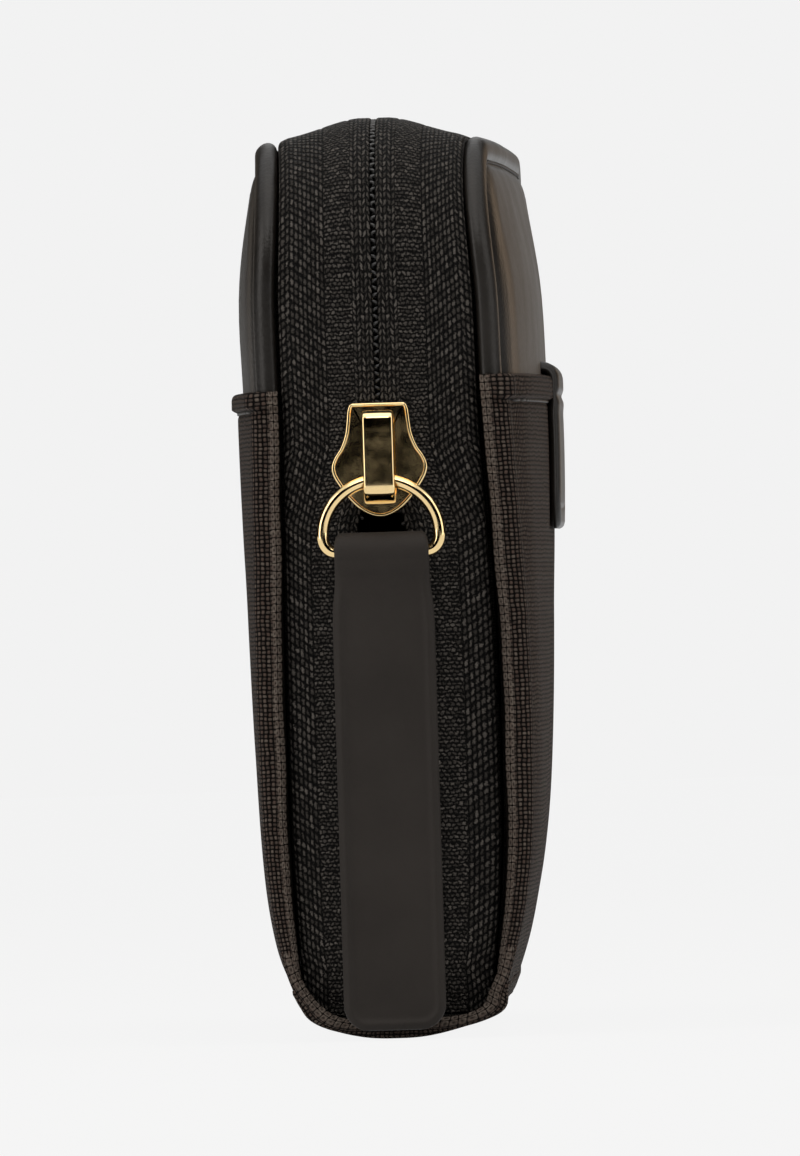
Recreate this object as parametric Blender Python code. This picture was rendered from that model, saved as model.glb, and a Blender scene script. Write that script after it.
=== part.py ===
"""Compact zip-around wallet that stands closed on its spine.

X runs through the thickness (front cover at +X), Y along the length (slider at the -Y end) and
Z up from the spine. All sizes are in metres. Each cover turns out about the fold line at its foot,
the slider runs on the back cover's half of the zip, and its ring and pull tab hang from it.
"""

import math

import bmesh
import bpy
from mathutils import Vector

# Gap left between neighbours, and the overrun of shapes that a Boolean joins or cuts
CLEARANCE = 0.0003
OVERRUN = 0.0001

# Cover outline, seen from the side
COVER_LENGTH = 0.1248
COVER_TOP_Z = 0.0954
COVER_BOTTOM_Z = 0.0032
COVER_CORNER_RADIUS = 0.015
SMALLEST_RING_RADIUS = 0.002

# Rolled edge of a cover
EDGE_INNER_X = 0.0098
EDGE_THICKNESS = 0.0021
EDGE_WIDTH = 0.0024
EDGE_ROUNDING = 0.0008
EDGE_CORNER_SHARE = 0.25
LEATHER_THICKNESS = 0.0007
GROOVE_DEPTH = 0.0003
GROOVE_INSET = 0.0026
GROOVE_HALF_WIDTH = 0.0004

# Swelling of a cover: its padded crown, the bow of its top edge and the tuck of its foot
CROWN_HEIGHT = 0.0028
CROWN_START_Y = 0.003
CROWN_SPAN_Y = 0.022
CROWN_SPAN_TOP_Z = 0.018
CROWN_START_Z = 0.006
CROWN_SPAN_BOTTOM_Z = 0.056
CROWN_SIDE_POWER = 2.0
CROWN_TOP_POWER = 1.8
CROWN_BOTTOM_POWER = 3.2
BOW_HEIGHT = 0.0013
BOW_START_Z = 0.010
BOW_SPAN_Z = 0.060
TUCK_SPAN_Z = 0.0053
TUCK_POWER = 1.5
TUCK_FOOT_SHARE = 0.35
INNER_CROWN_SHARE = 0.45

# Layers inside a cover, from the leather inwards
BOARD_SETBACK = 0.0002
BOARD_THICKNESS = 0.0008
LINING_THICKNESS = 0.0004
BILL_PANEL_THICKNESS = 0.0004
SLOT_THICKNESS = 0.00035
FOAM_INSET = 0.016
FOAM_GAP = 0.0007
FOAM_BOTTOM_Z = 0.026
FOAM_CORNER_RADIUS = 0.0075
BOARD_BOTTOM_Z = 0.0088
LINING_INSET = 0.0059
BILL_PANEL_INSET = 0.0084
BILL_PANEL_BOTTOM_Z = 0.0095
BILL_PANEL_DROP = 0.0094
BILL_PANEL_CORNER_RADIUS = 0.006
SLOT_COUNT = 3
SLOT_INSET = 0.008
SLOT_BOTTOM_Z = 0.0105
SLOT_FIRST_DROP = 0.016
SLOT_STEP_Z = 0.0120
SLOT_CORNER_RADIUS = 0.003

# Cloth pocket over the lower part of each cover
CLOTH_THICKNESS = 0.00045
CLOTH_EDGE_X = 0.0099
FRONT_HEM_DROP = 0.0245
BACK_HEM_DROP = 0.0264
FRONT_HEM_HEIGHT = 0.0028
BACK_HEM_HEIGHT = 0.0021
HEM_PROUD = 0.00045
HEM_SEAM_HEIGHT = 0.0004

# Leather patch over the front pocket's hem
PATCH_WIDTH = 0.030
PATCH_DROP = 0.0172
PATCH_THICKNESS = 0.0011
PATCH_TOP_RISE = 0.0013
PATCH_ROUNDING = 0.0004
PATCH_CORNER_RADIUS = 0.004

# Spine under the two covers
SPINE_OVERHANG = 0.0002
SPINE_FLAT_HALF_WIDTH = 0.0045
SPINE_HALF_WIDTH = 0.0103
SPINE_SIDE_Z = 0.0028
SPINE_CLOTH_THICKNESS = 0.0005
SPINE_END_THICKNESS = 0.00045
SPINE_END_Z = 0.0042
SPINE_END_HALF_WIDTH = 0.0090
SPINE_BOARD_HALF_WIDTH = 0.0050
SPINE_BOARD_THICKNESS = 0.0009
SPINE_LINING_HALF_WIDTH = 0.0078
SPINE_LINING_THICKNESS = 0.0004
FOLD_X = 0.0110
FOLD_Z = 0.0030

# Zip tape of a cover: a hump that stands out beyond the cover's edge, and a sewn margin
HUMP_HEIGHT = 0.0026
TAPE_THICKNESS = 0.0005
TAPE_FLAT_X = 0.0054
TAPE_MARGIN_X = 0.0095
TAPE_MARGIN_DEPTH = 0.0055
TAPE_BOTTOM_Z = 0.0057
TAPE_OPEN_GAP = 0.0025
TAPE_TRAVEL_GAP = 0.0014
TAPE_CLOSED_GAP = 0.0003
MESH_LENGTH_SHARE = 0.67
MESH_TURN_SHARE = 0.33
COIL_OPEN_GAP = 0.0020
COIL_TRAVEL_GAP = 0.00115
COIL_CLOSED_GAP = 0.00015
COIL_WIDTH = 0.0022
COIL_TOOTH_DEPTH = 0.0007
COIL_THICKNESS = 0.0013
COIL_PITCH = 0.0040
NEAR_STOP_GAP = 0.00135
FAR_STOP_TOP_Z = 0.0300
STOP_LENGTH = 0.0024
STOP_REACH = 0.0016
STOP_THICKNESS = 0.0003
STOP_CLEARANCE = 0.00005

# Main slider, its crown, ring and pull tab
SLIDER_LENGTH = 0.01215
SLIDER_HALF_WIDTH = 0.0051
SLIDER_TRAVEL = 0.0125
SLIDER_CORNER_GAP = 0.0004
PLATE_THICKNESS = 0.0010
PLATE_BEVEL = 0.00025
POST_HALF_WIDTH = 0.0008
CROWN_STRAP_HALF_WIDTH = 0.00187
CROWN_STRAP_THICKNESS = 0.00085
CROWN_STRAP_BEVEL = 0.00012
LOCK_SPRING_THICKNESS = 0.00025
LOCK_SPRING_HALF_WIDTH = 0.0009
LOCK_SPRING_LENGTH = 0.0061
RING_PIVOT_DROP = 0.0082
RING_WIRE_RADIUS = 0.00062
RING_HALF_WIDTH = 0.0062
RING_BEND_DROP = 0.0058
RING_BAR_DROP = 0.0076
RING_BAR_HALF_LENGTH = 0.0050
TAB_TOP_WIDTH = 0.0100
TAB_WIDTH = 0.0107
TAB_BOTTOM_Z = 0.0010
TAB_LEATHER = 0.0010
TAB_THICKNESS = 0.0024
TAB_FLARE_START_DROP = 0.0028
TAB_FLARE_END_DROP = 0.0063
TAB_NECK_DROP = 0.0022
TAB_CORNER_RADIUS = 0.0025
TAB_BORE_CLEARANCE = 0.0001

# Coin pocket in the middle
PAGE_INNER_X = 0.0025
PAGE_THICKNESS = 0.0005
PAGE_INSET = 0.0104
PAGE_DROP = 0.0174
PAGE_CORNER_RADIUS = 0.005
PAGE_FOOT_RADIUS = 0.0012
GUSSET_THICKNESS = 0.0004
GUSSET_FOLD_DEPTH = 0.0055
GUSSET_HALF_WIDTH = 0.0021
COIN_TAPE_INSET = 0.002
COIN_TAPE_THICKNESS = 0.0004
COIN_TAPE_GAP = 0.0009
COIN_TAPE_DEPTH = 0.0050
COIN_COIL_GAP = 0.00075
COIN_COIL_WIDTH = 0.0010
COIN_COIL_TOOTH_DEPTH = 0.00035
COIN_COIL_THICKNESS = 0.0008
COIN_COIL_PITCH = 0.0040
COIN_COIL_INSET = 0.003
COIN_STOP_LENGTH = 0.0016
COIN_STOP_HALF_WIDTH = 0.0019
COIN_STOP_HEIGHT = 0.0007
COIN_SLIDER_LENGTH = 0.0070
COIN_SLIDER_HALF_WIDTH = 0.0024
COIN_BOTTOM_PLATE_HALF_WIDTH = 0.00145
COIN_PLATE_THICKNESS = 0.0008
COIN_PLATE_BEVEL = 0.0002
COIN_POST_HALF_WIDTH = 0.00045
COIN_STRAP_HALF_WIDTH = 0.0009
COIN_STRAP_THICKNESS = 0.0006
PULLER_WIRE = 0.0008
PULLER_LENGTH = 0.0130
PULLER_HALF_WIDTH = 0.0022
PULLER_FOOT_RADIUS = 0.0004
PULLER_END_RADIUS = 0.0011
PULLER_EYE_HALF_WIDTH = 0.00135
PULLER_EYE_LENGTH = 0.0055
PULLER_EYE_RADIUS = 0.00045
PULLER_EDGE_BEVEL = 0.00015

# Slider outline: shares of its length from the narrow end, and of its half width
SLIDER_OUTLINE_SHARES = (
    (0.00, 0.50), (0.03, 0.62), (0.25, 0.72), (0.385, 0.80), (0.48, 0.94), (0.55, 1.00),
    (0.62, 0.98), (0.72, 0.84), (0.83, 0.67), (0.92, 0.47), (0.98, 0.24), (1.00, 0.08),
)
POST_OUTLINE_SHARES = ((0.62, 0.05), (0.72, 0.75), (0.80, 1.00), (0.87, 0.80), (0.92, 0.30))

# Legs of a slider's crown: shares of the slider's length, and of the strap's thickness
CROWN_LEG_SHARES = (0.08, 0.955)
COIN_CROWN_LEG_SHARES = (0.06, 0.94)
STRAP_LEG_SHARE = 1.2
STRAP_SLOPE_SHARE = 1.5
STRAP_CORNER_SHARE = 0.33

# Lower corner of the ring: shares of the way out to its full width, and of the way down to its bar
RING_CORNER_SHARES = ((0.93, 0.45), (0.62, 0.80))

# Slope of the zip tape: shares of the way from its flat to its margin, and of the hump's height
TAPE_OUTER_SHARES = ((0.0, 1.0), (0.50, 0.56), (0.84, 0.20), (1.0, -0.23))
TAPE_INNER_SHARES = ((0.42, 0.38), (0.77, -0.01), (0.88, -0.30))

# Derived sizes
HALF_LENGTH = COVER_LENGTH / 2
EDGE_OUTER_X = EDGE_INNER_X + EDGE_THICKNESS
CORNER_Z = COVER_TOP_Z - COVER_CORNER_RADIUS
CORNER_Y = HALF_LENGTH - COVER_CORNER_RADIUS
BILL_PANEL_LENGTH = COVER_LENGTH - 2 * BILL_PANEL_INSET
BILL_PANEL_TOP_Z = COVER_TOP_Z - BILL_PANEL_DROP
SLOT_LENGTH = BILL_PANEL_LENGTH - 2 * SLOT_INSET
SLOT_FIRST_TOP_Z = BILL_PANEL_TOP_Z - SLOT_FIRST_DROP
FRONT_HEM_TOP_Z = COVER_TOP_Z - FRONT_HEM_DROP
BACK_HEM_TOP_Z = COVER_TOP_Z - BACK_HEM_DROP
PATCH_BOTTOM_Z = FRONT_HEM_TOP_Z - PATCH_DROP
SPINE_LENGTH = COVER_LENGTH + 2 * SPINE_OVERHANG
SLIDER_TOP_Z = CORNER_Z - SLIDER_TRAVEL - SLIDER_CORNER_GAP
NEAR_STOP_TOP_Z = SLIDER_TOP_Z - SLIDER_LENGTH - NEAR_STOP_GAP
RING_PIVOT_Z = SLIDER_TOP_Z - RING_PIVOT_DROP
RING_BEND_Z = RING_PIVOT_Z - RING_BEND_DROP
RING_BAR_Z = RING_PIVOT_Z - RING_BAR_DROP
TAB_FLARE_START_Z = RING_BAR_Z - TAB_FLARE_START_DROP
TAB_FLARE_END_Z = RING_BAR_Z - TAB_FLARE_END_DROP
PAGE_LENGTH = COVER_LENGTH - 2 * PAGE_INSET
PAGE_TOP_Z = COVER_TOP_Z - PAGE_DROP
COIN_TAPE_LENGTH = PAGE_LENGTH - 2 * COIN_TAPE_INSET
COIN_COIL_LENGTH = COIN_TAPE_LENGTH - 2 * COIN_COIL_INSET
COIN_SLIDER_Y = -(COIN_COIL_LENGTH - COIN_SLIDER_LENGTH) / 2
LEATHER_INNER_X = EDGE_OUTER_X - LEATHER_THICKNESS
BOARD_INNER_X = EDGE_INNER_X + BOARD_SETBACK
BOARD_OUTER_X = BOARD_INNER_X + BOARD_THICKNESS
BOARD_INSET = EDGE_WIDTH + CLEARANCE
FOAM_INNER_X = BOARD_OUTER_X + CLEARANCE
FOAM_OUTER_X = LEATHER_INNER_X - FOAM_GAP
LINING_OUTER_X = BOARD_INNER_X - CLEARANCE
LINING_INNER_X = LINING_OUTER_X - LINING_THICKNESS
BILL_OUTER_X = LINING_INNER_X - CLEARANCE
BILL_INNER_X = BILL_OUTER_X - BILL_PANEL_THICKNESS
TAPE_OUTER_N = HUMP_HEIGHT
TAPE_INNER_N = HUMP_HEIGHT - TAPE_THICKNESS
COIL_OUTER_N = TAPE_INNER_N - CLEARANCE
COIL_INNER_N = COIL_OUTER_N - COIL_THICKNESS
TOP_PLATE_INNER_N = TAPE_OUTER_N + CLEARANCE
TOP_PLATE_OUTER_N = TOP_PLATE_INNER_N + PLATE_THICKNESS
BOTTOM_PLATE_OUTER_N = COIL_INNER_N - CLEARANCE
BOTTOM_PLATE_INNER_N = BOTTOM_PLATE_OUTER_N - PLATE_THICKNESS
RING_N = TOP_PLATE_OUTER_N + CLEARANCE + RING_WIRE_RADIUS
LOCK_SPRING_N = RING_N + RING_WIRE_RADIUS + CLEARANCE
STRAP_INNER_N = LOCK_SPRING_N + LOCK_SPRING_THICKNESS + CLEARANCE
RING_Y = -HALF_LENGTH - RING_N
PAGE_OUTER_X = PAGE_INNER_X + PAGE_THICKNESS
SPINE_BOARD_Z = SPINE_CLOTH_THICKNESS + CLEARANCE
SPINE_LINING_Z = SPINE_BOARD_Z + SPINE_BOARD_THICKNESS + CLEARANCE
PAGE_BOTTOM_Z = SPINE_LINING_Z + SPINE_LINING_THICKNESS + CLEARANCE
COIN_COIL_Z = PAGE_TOP_Z + CLEARANCE
COIN_TOP_PLATE_Z = COIN_COIL_Z + COIN_COIL_THICKNESS + CLEARANCE
COIN_BOTTOM_PLATE_Z = PAGE_TOP_Z - COIN_TAPE_THICKNESS - CLEARANCE - COIN_PLATE_THICKNESS
COIN_CAP_Z = COIN_TOP_PLATE_Z + COIN_PLATE_THICKNESS + CLEARANCE
PULLER_Z = COIN_CAP_Z + PULLER_WIRE / 2


def clear_scene():
    for item in list(bpy.data.objects):
        bpy.data.objects.remove(item)


def material(name, colour, roughness, metallic=0.0):
    made = bpy.data.materials.new(name)
    made.use_nodes = True
    shader = made.node_tree.nodes["Principled BSDF"]
    shader.inputs["Base Color"].default_value = (*colour, 1.0)
    shader.inputs["Roughness"].default_value = roughness
    shader.inputs["Metallic"].default_value = metallic
    return made


def add_object(name, points, faces, finish, pivot=(0.0, 0.0, 0.0)):
    """A closed mesh object whose origin lies at pivot, with its faces turned outwards."""
    mesh = bpy.data.meshes.new(name)
    origin = Vector(pivot)
    mesh.from_pydata([Vector(point) - origin for point in points], [], faces)
    shell = bmesh.new()
    shell.from_mesh(mesh)
    bmesh.ops.recalc_face_normals(shell, faces=shell.faces)
    shell.to_mesh(mesh)
    shell.free()
    mesh.shade_smooth()
    mesh.set_sharp_from_angle(angle=math.radians(35))
    mesh.materials.append(finish)
    item = bpy.data.objects.new(name, mesh)
    item.location = origin
    bpy.context.scene.collection.objects.link(item)
    return item


def loft(name, sections, finish, pivot=(0.0, 0.0, 0.0)):
    """Solid through closed sections that all have the same number of points."""
    count = len(sections[0])
    points = [point for section in sections for point in section]
    faces = [tuple(range(count))]
    for row in range(len(sections) - 1):
        for column in range(count):
            following = (column + 1) % count
            low, high = row * count, (row + 1) * count
            faces.append((low + column, low + following, high + following, high + column))
    last = (len(sections) - 1) * count
    faces.append(tuple(range(last, last + count)))
    return add_object(name, points, faces, finish, pivot)


def prism(name, outline, place, start, end, finish, pivot=(0.0, 0.0, 0.0)):
    """Flat outline (a, b) carried from start to end; place turns (a, b, depth) into a point."""
    sections = [[place(a, b, depth) for a, b in outline] for depth in (start, end)]
    return loft(name, sections, finish, pivot)


def bevel(item, width, segments=2):
    edge = item.modifiers.new("edge rounding", "BEVEL")
    edge.width = width
    edge.segments = segments
    edge.limit_method = "ANGLE"


def combine(item, other, operation):
    """Boolean of item with other, which stays in the scene as a hidden cutter."""
    join = item.modifiers.new(operation.lower(), "BOOLEAN")
    join.object = other
    join.operation = operation
    other.hide_render = True
    other.display_type = "WIRE"


def rounded_rectangle(low_a, high_a, low_b, high_b, low_radius, high_radius, steps=3):
    """Outline with its corners at low b rounded by low_radius and those at high b by high_radius."""
    corners = (
        (high_a - low_radius, low_b + low_radius, low_radius, -90),
        (high_a - high_radius, high_b - high_radius, high_radius, 0),
        (low_a + high_radius, high_b - high_radius, high_radius, 90),
        (low_a + low_radius, low_b + low_radius, low_radius, 180),
    )
    outline = []
    for centre_a, centre_b, radius, start in corners:
        for step in range(steps + 1):
            angle = math.radians(start + 90 * step / steps)
            outline.append((centre_a + radius * math.cos(angle), centre_b + radius * math.sin(angle)))
    return outline


def ramp(distance, span, power):
    """Rises from 0 to 1 over span, steeply at first."""
    share = min(max(distance / span, 0.0), 1.0)
    return 1.0 - (1.0 - share) ** power


def crown(y, z):
    side = ramp(HALF_LENGTH - CROWN_START_Y - abs(y), CROWN_SPAN_Y, CROWN_SIDE_POWER)
    top = ramp(COVER_TOP_Z - z, CROWN_SPAN_TOP_Z, CROWN_TOP_POWER)
    bottom = ramp(z - CROWN_START_Z, CROWN_SPAN_BOTTOM_Z, CROWN_BOTTOM_POWER)
    return CROWN_HEIGHT * side * top * bottom


def bow(y, z):
    along = max(1.0 - (y / HALF_LENGTH) ** 2, 0.0)
    return BOW_HEIGHT * along * ramp(z - BOW_START_Z, BOW_SPAN_Z, 1.0)


def tuck(z):
    """Share of a cover's thickness that is left as it curves in at its foot."""
    foot = TUCK_FOOT_SHARE
    return foot + (1.0 - foot) * ramp(z - COVER_BOTTOM_Z, TUCK_SPAN_Z, TUCK_POWER)


def cover_x(flat_x, y, z, crown_share):
    edge = EDGE_INNER_X + (flat_x - EDGE_INNER_X) * tuck(z)
    return edge + crown_share * crown(y, z) + bow(y, z)


def arch(inset):
    """Half the arch of a cover outline, as (y, z) from the near foot to the middle of the top."""
    radius = max(COVER_CORNER_RADIUS - inset, SMALLEST_RING_RADIUS)
    centre_y = HALF_LENGTH - inset - radius
    centre_z = COVER_TOP_Z - inset - radius
    leg_shares = (0.0, 0.03, 0.07, 0.15, 0.27, 0.45, 0.70, 1.0)
    top_shares = (0.5, 0.0)
    points = []
    for share in leg_shares:
        points.append((-centre_y - radius, COVER_BOTTOM_Z + share * (centre_z - COVER_BOTTOM_Z)))
    for degrees in (22.5, 45.0, 67.5, 90.0):
        angle = math.radians(degrees)
        points.append((-centre_y - radius * math.cos(angle), centre_z + radius * math.sin(angle)))
    for share in top_shares:
        points.append((-centre_y * share, centre_z + radius))
    return points


def leather_rings():
    """Rings (inset, flat x, crown share) from the middle of the outer face round to the inner one."""
    outer, inner, edge = EDGE_OUTER_X, LEATHER_INNER_X, EDGE_ROUNDING
    corner_share = EDGE_CORNER_SHARE
    groove_rings = (
        (GROOVE_INSET + GROOVE_HALF_WIDTH, outer, 1.0),
        (GROOVE_INSET, outer - GROOVE_DEPTH, 1.0),
        (GROOVE_INSET - GROOVE_HALF_WIDTH, outer, 1.0),
    )
    outer_shares = (0.72, 0.48, 0.32, 0.21, 0.13, 0.07)
    inner_shares = (0.13, 0.21, 0.32, 0.48, 0.72)
    rings = [(share * HALF_LENGTH, outer, 1.0) for share in outer_shares]
    rings += groove_rings
    rings += [
        (edge, outer, 0.0),
        (edge * corner_share, outer - edge * (1 - corner_share), 0.0),
        (0.0, (outer + EDGE_INNER_X) / 2, 0.0),
        (edge * corner_share, EDGE_INNER_X + edge * (1 - corner_share), 0.0),
        (edge, EDGE_INNER_X, 0.0),
        (EDGE_WIDTH, EDGE_INNER_X, 0.0),
        (EDGE_WIDTH, inner, 1.0),
    ]
    rings += [(share * HALF_LENGTH, inner, 1.0) for share in inner_shares]
    return rings


def leather_panel(name, side, finish, pivot):
    """Outer leather of a cover: a crowned sheet with a solid rolled edge along its arch."""
    rings = []
    for inset, flat_x, share in leather_rings():
        half = arch(inset)
        whole = half + [(-y, z) for y, z in reversed(half[:-1])]
        rings.append([(side * cover_x(flat_x, y, z, share), y, z) for y, z in whole])
    count = len(rings[0])
    points = [point for ring in rings for point in ring]
    faces = []
    for row in range(len(rings) - 1):
        for column in range(count - 1):
            low, high = row * count + column, (row + 1) * count + column
            faces.append((low, low + 1, high + 1, high))
    for start in (0, (len(rings) - 1) * count):
        for column in range(count // 2 - 1):
            other = count - 1 - column
            faces.append((start + column, start + column + 1, start + other - 1, start + other))
        middle = count // 2
        faces.append((start + middle - 1, start + middle, start + middle + 1))
    near = [row * count for row in range(len(rings))]
    far = [row * count + count - 1 for row in reversed(range(len(rings)))]
    faces.append(tuple(near + far))
    return add_object(name, points, faces, finish, pivot)


def layer_rows(half_length, low_z, high_z, radius, corner_steps=3):
    """Rows (half length, z) of a layer with square feet and rounded top corners."""
    straight_shares = (0.0, 0.08, 0.20, 0.40, 0.70)
    straight = high_z - radius - low_z
    rows = [(half_length, low_z + share * straight) for share in straight_shares]
    for step in range(corner_steps + 1):
        angle = math.radians(90 * step / corner_steps)
        rows.append((half_length - radius * (1 - math.cos(angle)), high_z - radius * (1 - math.sin(angle))))
    return rows


def crowned_layer(name, side, rows, inner, outer, finish, pivot):
    """Sheet of a cover between inner and outer, each a (flat x, crown share) pair."""
    column_shares = (-1.0, -0.85, -0.60, -0.25, 0.25, 0.60, 0.85, 1.0)
    sections = []
    for half_length, z in rows:
        section = []
        for (flat_x, crown_share), columns in ((inner, column_shares), (outer, column_shares[::-1])):
            for share in columns:
                y = share * half_length
                section.append((side * cover_x(flat_x, y, z, crown_share), y, z))
        sections.append(section)
    return loft(name, sections, finish, pivot)


def cover_board(name, side, finish, pivot):
    rows = layer_rows(
        HALF_LENGTH - BOARD_INSET, BOARD_BOTTOM_Z, COVER_TOP_Z - BOARD_INSET,
        COVER_CORNER_RADIUS - BOARD_INSET,
    )
    share = INNER_CROWN_SHARE
    return crowned_layer(name, side, rows, (BOARD_INNER_X, share), (BOARD_OUTER_X, share), finish, pivot)


def cover_foam(name, side, finish, pivot):
    rows = layer_rows(
        HALF_LENGTH - FOAM_INSET, FOAM_BOTTOM_Z, COVER_TOP_Z - FOAM_INSET, FOAM_CORNER_RADIUS
    )
    inner = (FOAM_INNER_X, INNER_CROWN_SHARE)
    return crowned_layer(name, side, rows, inner, (FOAM_OUTER_X, 1.0), finish, pivot)


def cover_lining(name, side, finish, pivot):
    rows = layer_rows(
        HALF_LENGTH - LINING_INSET, BOARD_BOTTOM_Z, COVER_TOP_Z - LINING_INSET,
        COVER_CORNER_RADIUS - LINING_INSET,
    )
    share = INNER_CROWN_SHARE
    inner, outer = (LINING_INNER_X, share), (LINING_OUTER_X, share)
    return crowned_layer(name, side, rows, inner, outer, finish, pivot)


def bill_panel(name, side, finish, pivot):
    rows = layer_rows(
        BILL_PANEL_LENGTH / 2, BILL_PANEL_BOTTOM_Z, BILL_PANEL_TOP_Z, BILL_PANEL_CORNER_RADIUS
    )
    inner, outer = (BILL_INNER_X, INNER_CROWN_SHARE), (BILL_OUTER_X, INNER_CROWN_SHARE)
    return crowned_layer(name, side, rows, inner, outer, finish, pivot)


def card_slot(name, side, index, finish, pivot):
    """One of the stepped card slots; index 0 is the tallest, next to the bill panel."""
    outer_x = BILL_INNER_X - CLEARANCE - index * (SLOT_THICKNESS + CLEARANCE)
    top_z = SLOT_FIRST_TOP_Z - index * SLOT_STEP_Z
    rows = layer_rows(SLOT_LENGTH / 2, SLOT_BOTTOM_Z, top_z, SLOT_CORNER_RADIUS)
    inner = (outer_x - SLOT_THICKNESS, INNER_CROWN_SHARE)
    return crowned_layer(name, side, rows, inner, (outer_x, INNER_CROWN_SHARE), finish, pivot)


def cloth_section(side, z, proud):
    """Section of the pocket cloth at z, which turns round both cover ends; proud thickens the hem."""
    inner_x = EDGE_OUTER_X + CLEARANCE
    outer_x = inner_x + CLOTH_THICKNESS + proud
    inner_y = HALF_LENGTH + CLEARANCE
    outer_y = inner_y + CLOTH_THICKNESS + proud
    rounding = EDGE_ROUNDING
    spread_shares = (0.84, 0.68, 0.40, 0.0)
    inner = [(CLOTH_EDGE_X, inner_y), (inner_x - rounding, inner_y), (inner_x, inner_y - rounding)]
    outer = [(CLOTH_EDGE_X, outer_y), (outer_x - rounding, outer_y), (outer_x, outer_y - rounding)]
    inner += [(inner_x, share * HALF_LENGTH) for share in spread_shares]
    outer += [(outer_x, share * HALF_LENGTH) for share in spread_shares]
    inner += [(x, -y) for x, y in reversed(inner[:-1])]
    outer += [(x, -y) for x, y in reversed(outer[:-1])]
    return [(side * cover_x(x, y, z, 1.0), y, z) for x, y in inner + outer[::-1]]


def pocket_cloth(name, side, hem_top_z, hem_height, finish, pivot):
    hem_foot_z = hem_top_z - hem_height
    span = hem_foot_z - COVER_BOTTOM_Z
    level_shares = (0.0, 0.02, 0.05, 0.09, 0.17, 0.28, 0.45, 0.65, 0.85, 1.0)
    sections = [cloth_section(side, COVER_BOTTOM_Z + share * span, 0.0) for share in level_shares]
    sections.append(cloth_section(side, hem_foot_z + HEM_SEAM_HEIGHT, HEM_PROUD))
    sections.append(cloth_section(side, hem_top_z - HEM_SEAM_HEIGHT, HEM_PROUD))
    sections.append(cloth_section(side, hem_top_z, HEM_PROUD / 2))
    return loft(name, sections, finish, pivot)


def front_patch(name, finish, pivot):
    """Leather tab that goes over the front pocket's hem and hangs down outside it."""
    cloth_x = EDGE_OUTER_X + CLEARANCE + CLOTH_THICKNESS + HEM_PROUD
    hem_z = FRONT_HEM_TOP_Z
    inner_x = cover_x(cloth_x, 0.0, hem_z, 1.0) + CLEARANCE
    outer_x = inner_x + PATCH_THICKNESS
    back_x = cover_x(EDGE_OUTER_X, 0.0, hem_z, 1.0) + CLEARANCE
    loop_z = hem_z + CLEARANCE
    top_z = loop_z + PATCH_TOP_RISE
    rounding = PATCH_ROUNDING
    outline = [
        (inner_x, PATCH_BOTTOM_Z), (outer_x, PATCH_BOTTOM_Z), (outer_x, top_z - rounding * 2),
        (outer_x - rounding, top_z), (back_x + rounding, top_z), (back_x, top_z - rounding),
        (back_x, loop_z), (inner_x, loop_z),
    ]
    half = PATCH_WIDTH / 2
    patch = prism(name, outline, lambda a, b, depth: (a, depth, b), -half, half, finish, pivot)
    low = PATCH_BOTTOM_Z
    shape = rounded_rectangle(-half, half, low, top_z + OVERRUN, PATCH_CORNER_RADIUS, PATCH_ROUNDING)
    reach = PATCH_THICKNESS
    cutter = prism(
        name + "_outline", shape, lambda a, b, depth: (depth, a, b), back_x - reach, outer_x + reach, finish
    )
    combine(patch, cutter, "INTERSECT")
    return patch


def zip_path(distance):
    """Point and outward normal in the Y-Z plane, at a distance along the path from its near foot."""
    leg = CORNER_Z - TAPE_BOTTOM_Z
    quarter = COVER_CORNER_RADIUS * math.pi / 2
    top = 2 * CORNER_Y
    if distance <= leg:
        return -HALF_LENGTH, TAPE_BOTTOM_Z + distance, -1.0, 0.0
    distance -= leg
    if distance <= quarter:
        angle = distance / COVER_CORNER_RADIUS
        out_y, out_z = -math.cos(angle), math.sin(angle)
        return -CORNER_Y + COVER_CORNER_RADIUS * out_y, CORNER_Z + COVER_CORNER_RADIUS * out_z, out_y, out_z
    distance -= quarter
    if distance <= top:
        return -CORNER_Y + distance, COVER_TOP_Z, 0.0, 1.0
    distance -= top
    if distance <= quarter:
        angle = distance / COVER_CORNER_RADIUS
        out_y, out_z = math.sin(angle), math.cos(angle)
        return CORNER_Y + COVER_CORNER_RADIUS * out_y, CORNER_Z + COVER_CORNER_RADIUS * out_z, out_y, out_z
    return HALF_LENGTH, CORNER_Z - (distance - quarter), 1.0, 0.0


def zip_path_lengths():
    """Length of one leg, of one quarter turn, and of the whole path."""
    leg = CORNER_Z - TAPE_BOTTOM_Z
    quarter = COVER_CORNER_RADIUS * math.pi / 2
    return leg, quarter, 2 * leg + 2 * quarter + 2 * CORNER_Y


def between(value, stops):
    """Straight lines through stops, a list of (value, result) in rising order."""
    for (low, low_result), (high, high_result) in zip(stops, stops[1:]):
        if value <= high:
            share = min(max((value - low) / (high - low), 0.0), 1.0)
            return low_result + share * (high_result - low_result)
    return stops[-1][1]


def chain_breaks():
    """Distances along the zip path where the gap between its halves starts to change or stops."""
    leg, quarter, whole = zip_path_lengths()
    wide = SLIDER_TOP_Z - SLIDER_LENGTH - TAPE_BOTTOM_Z
    narrow = wide + SLIDER_LENGTH * MESH_LENGTH_SHARE
    far_stop = whole - (FAR_STOP_TOP_Z - TAPE_BOTTOM_Z)
    return {
        "wide": wide, "narrow": narrow, "leg": leg, "meshed": leg + quarter * MESH_TURN_SHARE,
        "parting": far_stop - STOP_LENGTH, "far_stop": far_stop, "below_stop": far_stop + 2 * STOP_LENGTH,
        "end": whole,
    }


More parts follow.
